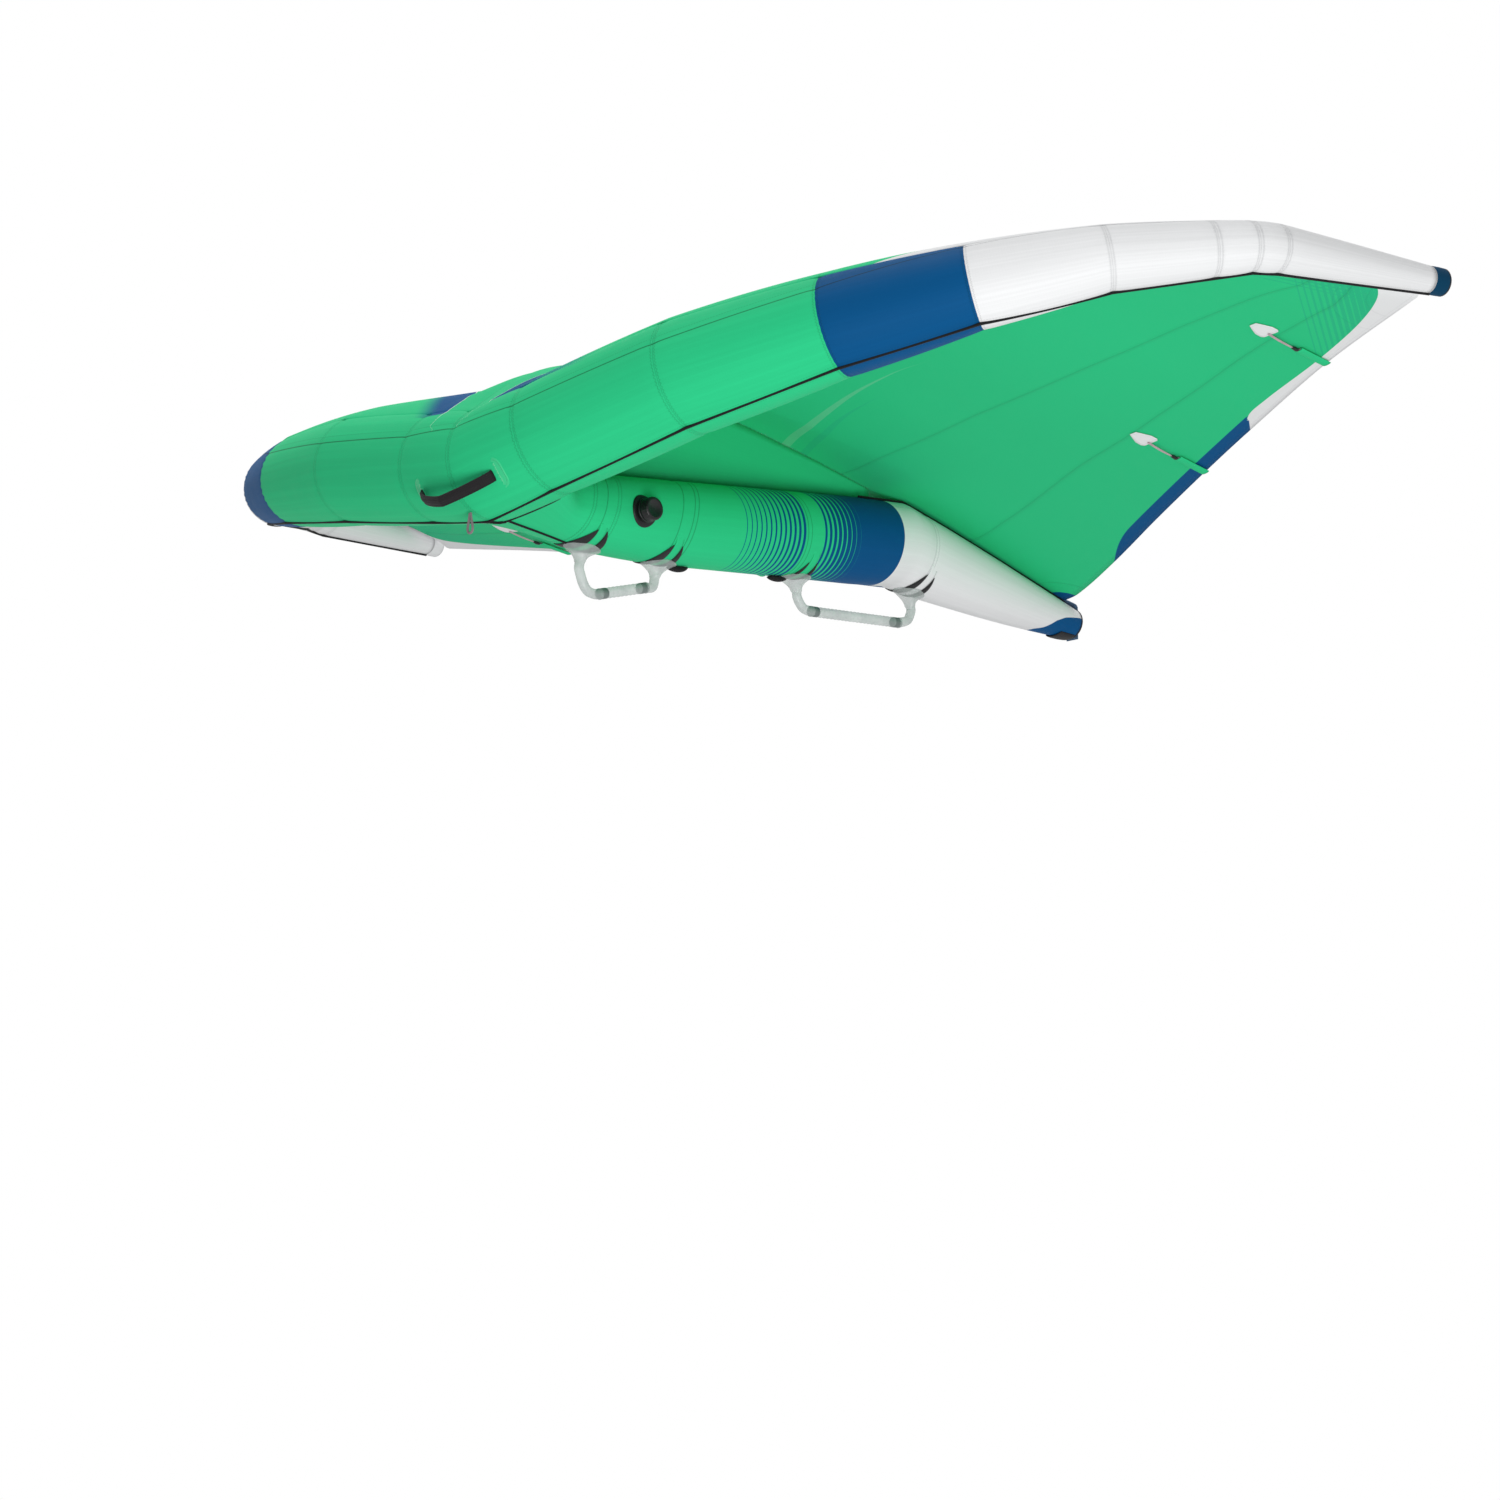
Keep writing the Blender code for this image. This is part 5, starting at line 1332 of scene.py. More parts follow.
@dataclass
class Sail:
    """The canopy, with its prints and seams, and the web between it and the strut."""

    shape: WingShape
    cell: float = 0.0125
    rows: int = 150
    band_width: float = 0.040
    band_fade: tuple[float, float, float] = (0.159, 0.250, 0.5914)
    flat_shares: tuple[float, float] = (1.06, 1.10)
    web_low: float = 0.060
    web_high: float = 0.632

    def width(self, bend: int) -> float:
        """How wide the panel behind a bend is."""
        near, far = self.shape.sail(float(bend), 0.5), self.shape.sail(float(bend + 1), 0.5)
        return max((far - near).length, self.shape.bend_width(bend))

    def build_canopy(self) -> None:
        """The cloth from tip to tip."""
        shape = self.shape
        bm = mapped_grid(shape.columns(self.cell, self.width), [i ** 1.1 for i in steps(0.0, 1.0, self.rows)],
                         shape.sail)
        piece = add_piece("canopy_cloth", face_up(bm), [SailCloth(shape, True).make(), SailCloth(shape, False).make()],
                          "green_cloth", "canopy", wall=shape.sail_cloth)
        self.mark(piece.data)

    def mark(self, mesh: bpy.types.Mesh) -> None:
        """Keep with each point its distance to every seam and print."""
        shape = self.shape
        side_x, y = behind_nose(shape, mesh)
        x = np.abs(side_x)
        place, share = np.abs(stored(mesh, "column")), stored(mesh, "row")
        keys = sorted(set(np.round(place, 5)))
        chord = np.interp(place, keys, [(shape.sail(p, 1.0) - shape.sail(p, 0.0)).length for p in keys])
        store(mesh, "bend", place)
        for number, table in enumerate(CROSS_SEAMS, 1):
            at = np.interp(place, keys, [table.smooth(key)[0] for key in keys])
            store(mesh, f"cross_seam_{number}", (share - at) * chord)
        width = np.interp(place, PLACES, [shape.bend_width(bend) for bend in range(BENDS)])
        store(mesh, "rib", np.abs(place - np.round(place)) * width)
        outline = NosePrints(shape).shape_outline
        store(mesh, "white_edge", beside_line(smooth_line(outline(WHITE_EDGE), 6), x, y)[0])
        rear = [tuple(shape.trailing_edge(p) - shape.nose)[:2] for p in steps(0.0, TRAILING_END, 60)]
        to_edge = np.abs(beside_line(rear, x, y)[0])
        store(mesh, "to_edge", to_edge)
        inner, full, outer = (p * shape.half_span for p in self.band_fade)
        fade = np.clip((x - inner) / (full - inner), 0.0, 1.0)
        band = self.band_width * fade * (2.0 - fade) - to_edge
        slant = ((outer - x) + (shape.chord * 0.7538 - y) * 0.68) * 0.83
        store(mesh, "blue_band", np.minimum(band, slant))
        for name, half, shares in CRESCENTS:
            gap, along = beside_line(smooth_line(outline(shares), 8), side_x, y)
            store(mesh, name, gap)
            store(mesh, name + "_half", half * np.clip(np.sin(np.pi * along), 0.0, 1.0) ** 1.5)
        NosePrints(shape).mark(mesh)
        store(mesh, "corner", np.hypot(x, (y - shape.chord * 1.004) * 0.9))
        on_tube = [math.radians(max(0.0, leaves - seam)) * radius
                   for leaves, seam, radius in zip(SAIL_LEAVES_AT, TOP_SEAM_AT, shape.bend_radii)]
        store(mesh, "tube_zone", np.interp(place, PLACES, on_tube) - share * chord)
        store(mesh, "tip_corner", np.hypot(x - rear[-1][0], y - rear[-1][1]))

    def build_web(self) -> None:
        """The cloth wall between the sail and the front of the strut."""
        shape = self.shape
        clear = shape.tube_radius + shape.cloth_gap

        def spot(back_share: float, height: float) -> Vector:
            """A point of the wall, its height a share of the way up."""
            low = shape.strut(shape.chord * back_share, 180.0, shape.cloth_gap) - shape.nose
            if low.y < clear:
                low.z = max(low.z, math.sqrt(clear ** 2 - low.y ** 2) + shape.cloth_gap)
            top = shape.middle_height(low.y) - shape.sail_cloth - shape.cloth_gap * 0.5
            return shape.nose + Vector((0.0, low.y, between(min(low.z, top), top, height)))

        bm = mapped_grid(steps(self.web_low, self.web_high, 60), steps(0.0, 1.0, 8), spot,
                         lambda share, height: (share * shape.chord, height * 0.1))
        piece = add_piece("web_cloth", bm, [WebCloth().make()], "green_cloth", "centre_web", wall=shape.sail_cloth,
                          offset=0.0)

    def build(self) -> None:
        """Every piece of the sail."""
        self.build_canopy()
        self.build_web()


@dataclass
class Strut:
    """The centre tube under the sail: its cloth with rings and bands, its flared front, and its bladder."""

    shape: WingShape
    step: float = 0.008
    around: int = 96
    wall: float = 0.0016
    front: float = 0.050
    flare_from: float = 0.200
    first_ring: float = 0.238
    ring_tilt: float = 0.060
    double_ring: float = 0.462
    rear_seam: float = 1.302
    ring_pinch: float = 0.0014
    ring_reach: float = 0.009
    piping_radius: float = 0.0030
    piping_turn: float = 66.0
    # Black cords along the strut's joint with the sail, put there as painted shade
    shade_cord_angle: float = 160.0
    shade_cord_radius: float = 0.0026
    shade_cord_from: float = 1.110
    bladder_gap: float = 0.0045

    def tilt(self, angle: float) -> float:
        """How much further back than at the underside a ring seam lies there."""
        return self.ring_tilt * ((1.0 - math.cos(math.radians(angle))) / 2.0) ** 2

    def skin(self, back: float, angle: float, offset: float = 0.0) -> Vector:
        """The cloth, drawn in a little at each ring seam."""
        level = back - self.tilt(angle)
        gap = min(abs(level - self.first_ring), abs(level - self.double_ring), abs(back - self.rear_seam))
        return self.shape.strut(back, angle, offset - self.ring_pinch * math.exp(-((gap / self.ring_reach) ** 2)))

    def root(self, angle: float, offset: float = 0.0) -> Vector:
        """A point of the seam where the flared front is sewn to the leading edge."""
        span, turn = FLARE_ROOTS.smooth(abs(angle))
        bend = self.shape.half_span * LEADING_EDGE[1][0]
        return self.shape.tube(math.copysign(span / bend, angle), turn, offset)

    def surface(self, back: float, angle: float, offset: float = 0.0) -> Vector:
        """A point on the cloth, the flared front included."""
        if back >= self.flare_from:
            return self.skin(back, angle, offset)
        root, ring = self.root(angle, offset - 0.0010), self.skin(self.flare_from, angle, offset)
        along = (self.skin(self.flare_from + self.step, angle, offset) - ring).normalized()
        guides = (root, root.lerp(ring, 0.33), ring - along * ((ring - root).length * 0.40), ring)
        return curve_point(guides, (back - self.front) / (self.flare_from - self.front))

    def build_cloth(self) -> None:
        """The sewn tube."""
        end = self.shape.strut_sizes.keys[-1]
        backs = steps(self.front, self.flare_from, 22)
        backs += steps(self.flare_from, end, round((end - self.flare_from) / self.step))[1:]
        bm = mapped_grid(backs, steps(-180.0, 180.0, self.around), self.surface,
                         lambda back, angle: (back, math.radians(angle) * self.shape.strut_radius))
        piece = add_piece("strut_cloth", close_up(bm), [StrutCloth(self).make()], "green_cloth", "strut_sleeve",
                          wall=self.wall)
        mesh = piece.data
        turn, back = np.abs(stored(mesh, "row")), stored(mesh, "column")
        store(mesh, "turn", turn)
        store(mesh, "level", back - np.array([self.tilt(angle) for angle in turn]))
        store(mesh, "end_patch", back - np.interp(turn, *END_PATCH))

    def build_piping(self) -> None:
        """The black cords: the keel of the flared front, its seam with the leading edge, and a cord on each side of
        the strut's joint with the sail that stands in for the shade there.
        """
        keel = [self.shape.tube(0.0, turn, 0.0010) for turn in (180.0, 186.0, 193.0, 200.0)]
        keel += [self.surface(back, 0.0, 0.0010) for back in steps(self.front, self.flare_from + 0.012, 14)]
        cords = [("keel_piping", keel, [self.piping_radius] * len(keel))]
        for side in Side:
            shares = steps(0.0, 1.0, 22)
            seam = [self.root(self.piping_turn * share * side.value, 0.0008) for share in shares]
            radii = [self.piping_radius * (0.35 + 0.95 * math.sin(math.pi * (0.08 + 0.92 * share)) ** 0.8)
                     for share in shares]
            cords.append((f"flare_piping_{side.word}", seam, radii))
            # A black cord on each side of the joint with the sail, which stands in for the deep shade between strut
            # and sail
            shade_cord = [self.shape.strut(back, side.value * self.shade_cord_angle, self.shade_cord_radius)
                       for back in steps(self.shade_cord_from, self.shape.chord * 0.995, 70)]
            cords.append((f"sail_binding_{side.word}", shade_cord, [self.shade_cord_radius] * len(shade_cord)))
        for name, path, radii in cords:
            add_piece(name, sweep(path, radii, radii, 8), [Webbing(DYES.black, 0.003).make()], "black_webbing")

    def build_bladder(self) -> None:
        """The air bladder, whose end shows in the strut's mouth."""
        bm = mapped_grid(steps(self.shape.chord * 0.112, self.shape.chord * 0.985, 60), steps(-180.0, 180.0, 40),
                         lambda back, angle: self.shape.strut(back, angle, -self.bladder_gap),
                         lambda back, angle: (back, angle / 360.0))
        piece = add_piece("strut_air_bladder", close_up(bm, True), [Film().make()], "bladder_film", "strut_bladder")

    def build(self) -> None:
        """Every piece of the strut."""
        self.build_cloth()
        self.build_piping()
        self.build_bladder()


@dataclass
class StrutEnd:
    """The rear end of the strut: its rubber lip, the pad below it and the strap that folds over it."""

    shape: WingShape
    lip_radius: float = 0.0020
    pad_length: float = 0.062
    pad_half_angle: float = 33.0
    pad_thickness: float = 0.0050
    pad_lift: float = 0.0008
    strap_half_width: float = 0.018
    strap_thickness: float = 0.0018
    strap_run: float = 0.062
    standoff: float = 0.0026

    def build_lip(self) -> None:
        """The rolled rubber edge of the strut's mouth."""
        up, side = self.shape.strut_frames[-1]
        along = up.cross(side).normalized()
        along = along if along.y > 0.0 else -along
        middle = self.shape.strut_sizes.rows[-1][0] - 0.0009
        bm = bmesh.new()
        upright = Matrix.Translation((middle, 0.0, 0.0)) @ Matrix.Rotation(math.pi / 2.0, 4, "X")
        bmesh.ops.create_circle(bm, segments=12, radius=self.lip_radius, matrix=upright)
        place = self.shape.strut_path[-1] + along * (self.lip_radius + 0.0003)
        add_piece("strut_mouth_lip", set_up(spun(bm, 64), place, along, "X"),
                  [Moulded("lip_rubber", srgb(30, 30, 32), 0.5).make()], "black_rubber", "strut_end_lip")

    def build_pad(self) -> None:
        """The rubber bumper under the end."""
        rear = self.shape.strut_sizes.keys[-1] - 0.004

        def spot(share: float, turn: float) -> Vector:
            """A point of the pad, its share counted from its front."""
            aside = abs(turn / self.pad_half_angle)
            length = self.pad_length * (1.0 - 0.12 * aside ** 2.0)
            swell = (math.sin(math.pi * between(0.02, 0.98, share)) * (1.0 - aside ** 6)) ** 0.22
            return self.shape.strut(rear - length * (1.0 - share), turn, self.pad_lift + self.pad_thickness * swell)

        bm = mapped_grid(steps(0.0, 1.0, 20), steps(-self.pad_half_angle, self.pad_half_angle, 16), spot)
        add_piece("strut_end_bumper", face_up(bm, False), [Moulded("bumper_rubber", srgb(26, 26, 28), 0.6).make()],
                  "black_rubber", "strut_end_pad", wall=0.0010)

    def build_strap(self) -> None:
        """The webbing that folds over the mouth."""
        shape, end = self.shape, self.shape.strut_sizes.keys[-1]
        rear = end + self.lip_radius * 2.0 + self.standoff
        bottom = shape.strut_path[-1].z - shape.nose.z - shape.strut_sizes.rows[-1][0] * 1.05
        corner = shape.middle_height(end) + self.lip_radius + self.standoff
        line = [(back, shape.middle_height(back) + self.standoff)
                for back in steps(shape.chord - self.strap_run, shape.chord, 6)]
        line += [(rear - 0.008, corner + 0.0015), (rear + 0.0005, corner - 0.003), (rear + 0.0025, corner - 0.012),
                 (rear + 0.0022, between(corner, bottom, 0.6)), (rear + 0.0010, bottom)]
        path = [Vector(point) for point in smooth_line([shape.nose + Vector((0.0, y, z)) for y, z in line], 4)]
        runs = runs_along(path)
        bm = mapped_grid(counted(path), steps(-1.0, 1.0, 8),
                         lambda index, x: path[round(index)] + X_AXIS * (x * self.strap_half_width),
                         lambda index, x: (runs[round(index)], x * self.strap_half_width))
        piece = add_piece("mouth_strap", face_up(bm), [Webbing(srgb(84, 112, 142), 0.0030).make()], "blue_webbing",
                          "strut_end_strap", body="strut_end_strap", wall=self.strap_thickness, offset=0.0)
        round_edges(piece, 0.0005)

    def build(self) -> None:
        """Every piece of the end."""
        self.build_lip()
        self.build_pad()
        self.build_strap()


@dataclass
class GripHandle:
    """One handle under the strut: its grip, its two legs with their feet, and what lies under the feet.

    The lines run in the plane of symmetry, as distance behind the nose and height beside it. Each foot's
    pads are the widths of the front and the rear crescent, and half the angle that they reach round.
    """

    shape: WingShape
    name: str
    feet: tuple[float, float]
    front_leg: tuple[Point, ...]
    rear_leg: tuple[Point, ...]
    pads: tuple[Colour, Colour]
    strap_reach: float = 62.0
    white_from: float = 1.187
    bar_radius: float = 0.0118
    leg_radius: float = 0.0108
    wave: float = 0.0007
    wave_length: float = 0.0125
    foot_half_length: float = 0.047
    foot_half_width: float = 0.031
    flare: float = 0.032
    flare_rows: int = 12
    plate: float = 0.0030
    lift: float = 0.0008
    strap_half: float = 0.011
    strap_thickness: float = 0.0008
    pad_thickness: float = 0.0024
    collar_from: float = 0.0045
    collar_length: float = 0.015
    joint_half: float = 0.0016

    def spot(self, point: Point) -> Vector:
        """A point of the plane of symmetry in the model's frame."""
        return self.shape.nose + Vector((0.0, point[0], point[1]))

    def build_leg(self, where: str, foot: float, line: Sequence[Point]) -> None:
        """A leg from its foot on the strut to the end of the grip.

        Args:
            where: Which leg it is.
            foot: The middle of the foot, behind the nose.
            line: The leg's middle line below the foot.
        """
        neck = self.shape.strut(foot, 0.0, self.plate + self.flare)
        full_lean = (self.spot(line[0]).y - neck.y) * 0.85
        neck.y += full_lean
        path = [Vector(point) for point in smooth_line([neck, *map(self.spot, line)], 5)]
        last, rows = len(path) - 1, self.flare_rows
        frames = [(path[min(i + 1, last)] - path[max(i - 1, 0)]).normalized().cross(X_AXIS).normalized()
                  for i in range(len(path))]

        def spot(index: float, turn: float) -> Vector:
            """A point on the leg: first the flare of its foot, then the rod."""
            i = round(index)
            if i >= rows + 2:
                j = i - rows - 2
                radius = between(self.leg_radius, self.bar_radius, ease(j / last, 0.75, 1.0))
                return path[j] + X_AXIS * (math.cos(turn) * radius) + frames[j] * (math.sin(turn) * radius)
            wide, long, height = self.foot_half_width, self.foot_half_length, self.plate * i
            if i >= 2:
                share = ((i - 2) / rows) ** 1.15
                ease_in = (1.0 - share) ** 2.1 * 0.98
                wide = between(self.leg_radius, self.foot_half_width, ease_in)
                long = between(self.leg_radius, self.foot_half_length, ease_in)
                height = self.plate + self.flare * share * 0.96
            back = foot + full_lean * max(height - self.plate, 0.0) / self.flare - math.sin(turn) * long
            return self.shape.strut_beside(back, math.cos(turn) * wide, self.lift + height)

        columns = [float(i) for i in range(rows + 2 + len(path))]
        piece = add_piece(f"{self.name}_grip_leg_{where}",
                          close_up(mapped_grid(columns, steps(0.0, math.tau, 32), spot), True),
                          [PaleMoulding().make()], "pale_moulding", f"{self.name}_handle_{where}_leg")
        round_edges(piece, 0.0012)

    def build_bar(self) -> None:
        """The grip with its low waves, and the collar and joint ring at each end."""
        start, end = self.spot(self.front_leg[-1]), self.spot(self.rear_leg[-1])
        along, length = (end - start).normalized(), (end - start).length
        path, radii = [], []
        for run in steps(0.0, length, round(length / self.wave_length) * 10):
            fade = ease(min(run, length - run), 0.018, 0.028)
            path.append(start + along * run)
            radii.append(self.bar_radius - 0.0004
                         + self.wave * (0.5 - 0.5 * math.cos(math.tau * run / self.wave_length)) * fade)
        add_piece(f"{self.name}_grip", sweep(path, radii, radii, 32), [PaleMoulding().make()], "pale_moulding",
                  f"{self.name}_handle_bar")
        dark = Moulded(f"{self.name}_collar", srgb(112, 122, 120), 0.35).make()
        for where, root, way in (("front", start, along), ("rear", end, -along)):
            ring, half = self.bar_radius + 0.0009, self.joint_half
            profile = ((0.0, -half), (ring - 0.0006, -half), (ring, -half / 2.0), (ring, half / 2.0),
                       (ring - 0.0006, half), (0.0, half))
            add_piece(f"{self.name}_grip_joint_{where}", turned(profile, 40, root, way), [PaleMoulding().make()],
                      "pale_moulding")
            wide, near, far = self.bar_radius + 0.0003, self.collar_from, self.collar_from + self.collar_length
            profile = ((0.0, near), (wide - 0.0005, near), (wide, near + 0.0006), (wide, far - 0.0006),
                       (wide - 0.0005, far), (0.0, far))
            add_piece(f"{self.name}_grip_collar_{where}", turned(profile, 40, root, way), [dark], "pale_moulding")

    def build_dressing(self, where: str, foot: float, pads: Colour) -> None:
        """The strap round the strut under a foot, and the rubber crescent on either side of it.

        Args:
            where: Which leg the foot is on.
            foot: The middle of the foot, behind the nose.
            pads: The widths of the crescents, and half the angle that they reach round.
        """
        nodes, strut, reach = f"{self.name}_handle_{where}", self.shape.strut, self.strap_reach
        bm = mapped_grid(steps(-self.strap_half, self.strap_half, 4), steps(-reach, reach, 48),
                         lambda across, turn: strut(foot + across, turn,
                                                    self.lift - 0.0024 * ease(abs(turn), reach - 16.0, reach)),
                         lambda across, turn: (math.radians(turn) * self.shape.strut_radius, across))
        dye = DYES.white if foot > self.white_from else DYES.green
        add_piece(f"{nodes}_webbing", face_up(bm, False), [PlainCloth("foot_strap", dye).make()], "green_cloth",
                  f"{nodes}_strap", wall=self.strap_thickness, offset=1.0)
        near = self.strap_half + 0.0012
        *widths, half_angle = pads
        for way, side, width in zip((-1.0, 1.0), ("front", "rear"), widths):
            def spot(across: float, turn: float) -> Vector:
                """A point of the crescent, its share across counted from the strap."""
                share = turn / half_angle
                wide = between(width, 0.002, abs(share) ** 2.0)
                swell = math.sin(math.pi * between(0.04, 0.96, across)) ** 0.4
                return strut(foot + way * (near + wide * across), turn,
                             0.0010 + self.pad_thickness * swell * (1.0 - 0.6 * share ** 4))

            bm = mapped_grid(steps(0.0, 1.0, 10), steps(-half_angle, half_angle, 48), spot)
            add_piece(f"{nodes}_crescent_{side}", face_up(bm, False),
                      [Moulded("crescent_rubber", srgb(22, 22, 24), 0.55).make()], "black_rubber",
                      f"{nodes}_pad_{side}", wall=0.0008)

    def build(self) -> None:
        """Every piece of the handle."""
        for where, foot, line, pads in zip(("front", "rear"), self.feet, (self.front_leg, self.rear_leg), self.pads):
            self.build_leg(where, foot, line)
            self.build_dressing(where, foot, pads)
        self.build_bar()


@dataclass
class LineTabs:
    """The two small folded webbing tabs under the strut."""

    shape: WingShape
    places: tuple[float, float] = (0.539, 0.855)
    length: float = 0.052
    half_width: float = 0.009
    half_thickness: float = 0.0068

    def build(self) -> None:
        """Both tabs."""
        shares = steps(0.02, 0.98, 24)
        depths = [self.half_thickness * math.sin(math.pi * share) ** 0.28 for share in shares]
        for number, back in enumerate(self.places, 1):
            path = [self.shape.strut(back + self.length * (share - 0.5), 0.0, 0.0008 + depth)
                    for share, depth in zip(shares, depths)]
            add_piece(f"webbing_tab_{number}", sweep(path, [self.half_width] * len(path), depths, 20),
                      [Webbing(DYES.black, 0.0030).make()], "black_webbing", f"line_tab_{number}")


@dataclass
class InflationValve:
    """The welded flange, the insert and the cap of the valve on the strut's +X side."""

    shape: WingShape
    back: float = 0.362
    flange_radius: float = 0.036
    flange_thickness: float = 0.0030
    rim_radius: float = 0.0275
    rim_low: float = 0.0060
    rim_thickness: float = 0.0050
    bore: float = 0.0150
    neck: float = 0.0240
    depth: float = 0.024
    cap_radius: float = 0.0260
    cap_height: float = 0.021
    grips: int = 24
    grip_depth: float = 0.0006

    def build_flange(self, seat: Vector) -> None:
        """The flange that lies on the cloth."""
        radius, inner = self.shape.strut_sizes.straight(self.back)[0], self.rim_radius * 0.8

        def spot(out: float, turn: float) -> Vector:
            """A point of the flange, which follows the strut's curve."""
            up, along = math.sin(turn) * out, math.cos(turn) * out
            edge = max((out - inner) / (self.flange_radius - inner), 0.0)
            lift = self.flange_thickness * math.sqrt(max(1.0 - edge ** 6, 0.0)) + 0.0006
            x = math.sqrt(max((radius + lift) ** 2 - up ** 2, 0.0))
            return Vector((seat.x - radius + x, seat.y + along, seat.z + up))

        bm = mapped_grid(steps(inner, self.flange_radius, 12), steps(0.0, math.tau, 64), spot)
        add_piece("valve_base", close_up(bm), [Moulded("valve_rubber", srgb(20, 20, 22), 0.45).make()],
                  "black_rubber", "valve_flange")

    def build_insert(self, seat: Vector) -> None:
        """The insert with its bore."""
        low, top, rim = self.rim_low, self.rim_low + self.rim_thickness, self.rim_radius
        profile = ((self.bore, -self.depth), (self.bore, top - 0.0008), (self.bore + 0.0008, top),
                   (rim - 0.0010, top), (rim, top - 0.0010), (rim, low + 0.0008), (rim - 0.0008, low),
                   (self.neck, low), (self.neck, -self.depth), (self.bore, -self.depth))
        add_piece("valve_body", turned(profile, 64, seat, X_AXIS),
                  [Moulded("valve_plastic", srgb(28, 28, 30), 0.28).make()], "black_plastic", "valve_insert")

    def build_cap(self, seat: Vector) -> None:
        """The cap with its ribbed edge."""
        base, wide = self.rim_low + self.rim_thickness + 0.0004, self.cap_radius
        top = base + self.cap_height
        profile = ((0.0, top - 0.0016), (wide * 0.62, top - 0.0010), (wide * 0.70, top), (wide - 0.0040, top),
                   (wide - 0.0014, top - 0.0010), (wide - 0.0004, top - 0.0036), (wide - 0.0008, base + 0.0060),
                   (wide, base + 0.0052), (wide, base + 0.0008), (wide - 0.0008, base), (wide - 0.0030, base),
                   (wide - 0.0030, top - 0.004), (0.0, top - 0.004))
        bm = turned(profile, self.grips * 6, seat, X_AXIS)
        for vertex in bm.verts:
            reach = vertex.co - seat
            out = math.hypot(reach.y, reach.z)
            if out > wide - 0.0015 and base + 0.006 < reach.x < top - 0.002:
                ridge = self.grip_depth * max(math.cos(math.atan2(reach.z, reach.y) * self.grips), -0.2)
                vertex.co += Vector((0.0, reach.y, reach.z)) * (ridge / out)
        add_piece("valve_lid", bm, [Moulded("valve_cap_plastic", srgb(24, 24, 26), 0.26).make()], "black_plastic",
                  "valve_cap", body="valve_cap")

    def build(self) -> None:
        """Every piece of the valve, on the axis that leaves the strut's side."""
        seat = self.shape.strut(self.back, 90.0)
        self.build_flange(seat)
        self.build_insert(seat)
        self.build_cap(seat)


@dataclass
class NoseGear:
    """The grab handle at the nose with its sewn patches, and the leash loop."""

    shape: WingShape
    angle: float = 127.0
    half_span: float = 0.094
    bow: float = 0.040
    half_width: float = 0.0125
    half_thickness: float = 0.0052
    patch_half_width: float = 0.022
    patch_half_angle: float = 17.0
    patch_thickness: float = 0.0012
    leash_angle: float = 154.0
    leash_radius: float = 0.0031
    leash_drop: float = 0.043
    leash_half_width: float = 0.0125

    def place_at(self, x: float) -> float:
        """The place along the tube at a distance from the middle."""
        return x / (self.shape.half_span * LEADING_EDGE[1][0])

    def build_handle(self) -> None:
        """The padded strap with three ridges along it, pressed flat at its sewn ends."""
        lift = 0.002 + self.patch_thickness + self.half_thickness

        def spot(share: float, turn: float) -> Vector:
            """A point on the strap."""
            place = self.place_at(self.half_span * share)
            flat = ease(abs(share), 0.86, 1.0)
            reach = lift - flat * self.half_thickness * 0.55 + self.bow * (1.0 - share ** 2) ** 0.8
            out = self.shape.tube_out(place, self.angle)
            side = X_AXIS.cross(out).normalized()
            ridge = 1.0 + 0.16 * math.cos(turn * 6.0) * max(math.cos(turn), 0.0)
            thick = self.half_thickness * (1.0 - 0.5 * flat) * ridge
            wide = math.copysign(abs(math.sin(turn)) ** 0.75, math.sin(turn)) * self.half_width
            return self.shape.tube(place, self.angle, reach) + out * (math.cos(turn) * thick) + side * wide

        bm = mapped_grid(steps(-1.0, 1.0, 64), steps(0.0, math.tau, 40), spot,
                         lambda share, turn: (share * self.half_span, turn * self.half_width * 0.5))
        add_piece("nose_grab_strap", close_up(bm, True), [Webbing(srgb(34, 32, 34), 0.0026).make()],
                  "black_webbing", "grab_handle")

    def build_patches(self) -> None:
        """The sewn patches that the strap's ends go into."""
        for side in Side:
            middle = self.half_span * side.value

            def spot(x: float, turn: float) -> Vector:
                """A point of the patch, whose corners are rounded."""
                share = abs(turn - self.angle) / self.patch_half_angle
                width = self.patch_half_width * math.sqrt(max(1.0 - share ** 4, 0.02))
                return self.shape.tube(self.place_at(middle + x * width), turn, 0.0006)

            bm = mapped_grid(steps(-1.0, 1.0, 16), [self.angle + i for i in
                                                    steps(-self.patch_half_angle, self.patch_half_angle, 24)], spot,
                             lambda x, turn: (x * self.patch_half_width, (turn - self.angle) * 0.0021))
            piece = add_piece(f"grab_patch_{side.word}", bm, [GrabPatchCloth(self.patch_half_width).make()],
                              "green_cloth", f"grab_handle_patch_{side.word}", wall=self.patch_thickness, offset=1.0)
            face = piece.data.polygons[len(piece.data.polygons) // 2]
            if (face.center - self.shape.nose).dot(face.normal) < 0.0:
                piece.data.flip_normals()

    def build_leash(self) -> None:
        """The loop of cord, drawn together at its root."""
        root = self.shape.tube(0.0, self.leash_angle, 0.001 + self.leash_radius)
        path = []
        for turn in steps(0.0, math.tau, 48):
            down = (1.0 - math.cos(turn)) / 2.0
            wide = self.leash_half_width * math.sin(turn) * (0.05 + 0.95 * down ** 1.5)
            path.append(root + Vector((-wide - 0.0014 * math.cos(turn / 2.0), 0.0, -self.leash_drop * down)))
        radii = [self.leash_radius * 0.9] * len(path)
        add_piece("leash_cord", sweep(path, radii, radii, 12, Y_AXIS), [Webbing(srgb(150, 136, 141), 0.0022).make()],
                  "pale_cord", "leash_loop", body="leash_loop")

    def build(self) -> None:
        """Every piece at the nose."""
        self.build_handle()
        self.build_patches()
        self.build_leash()


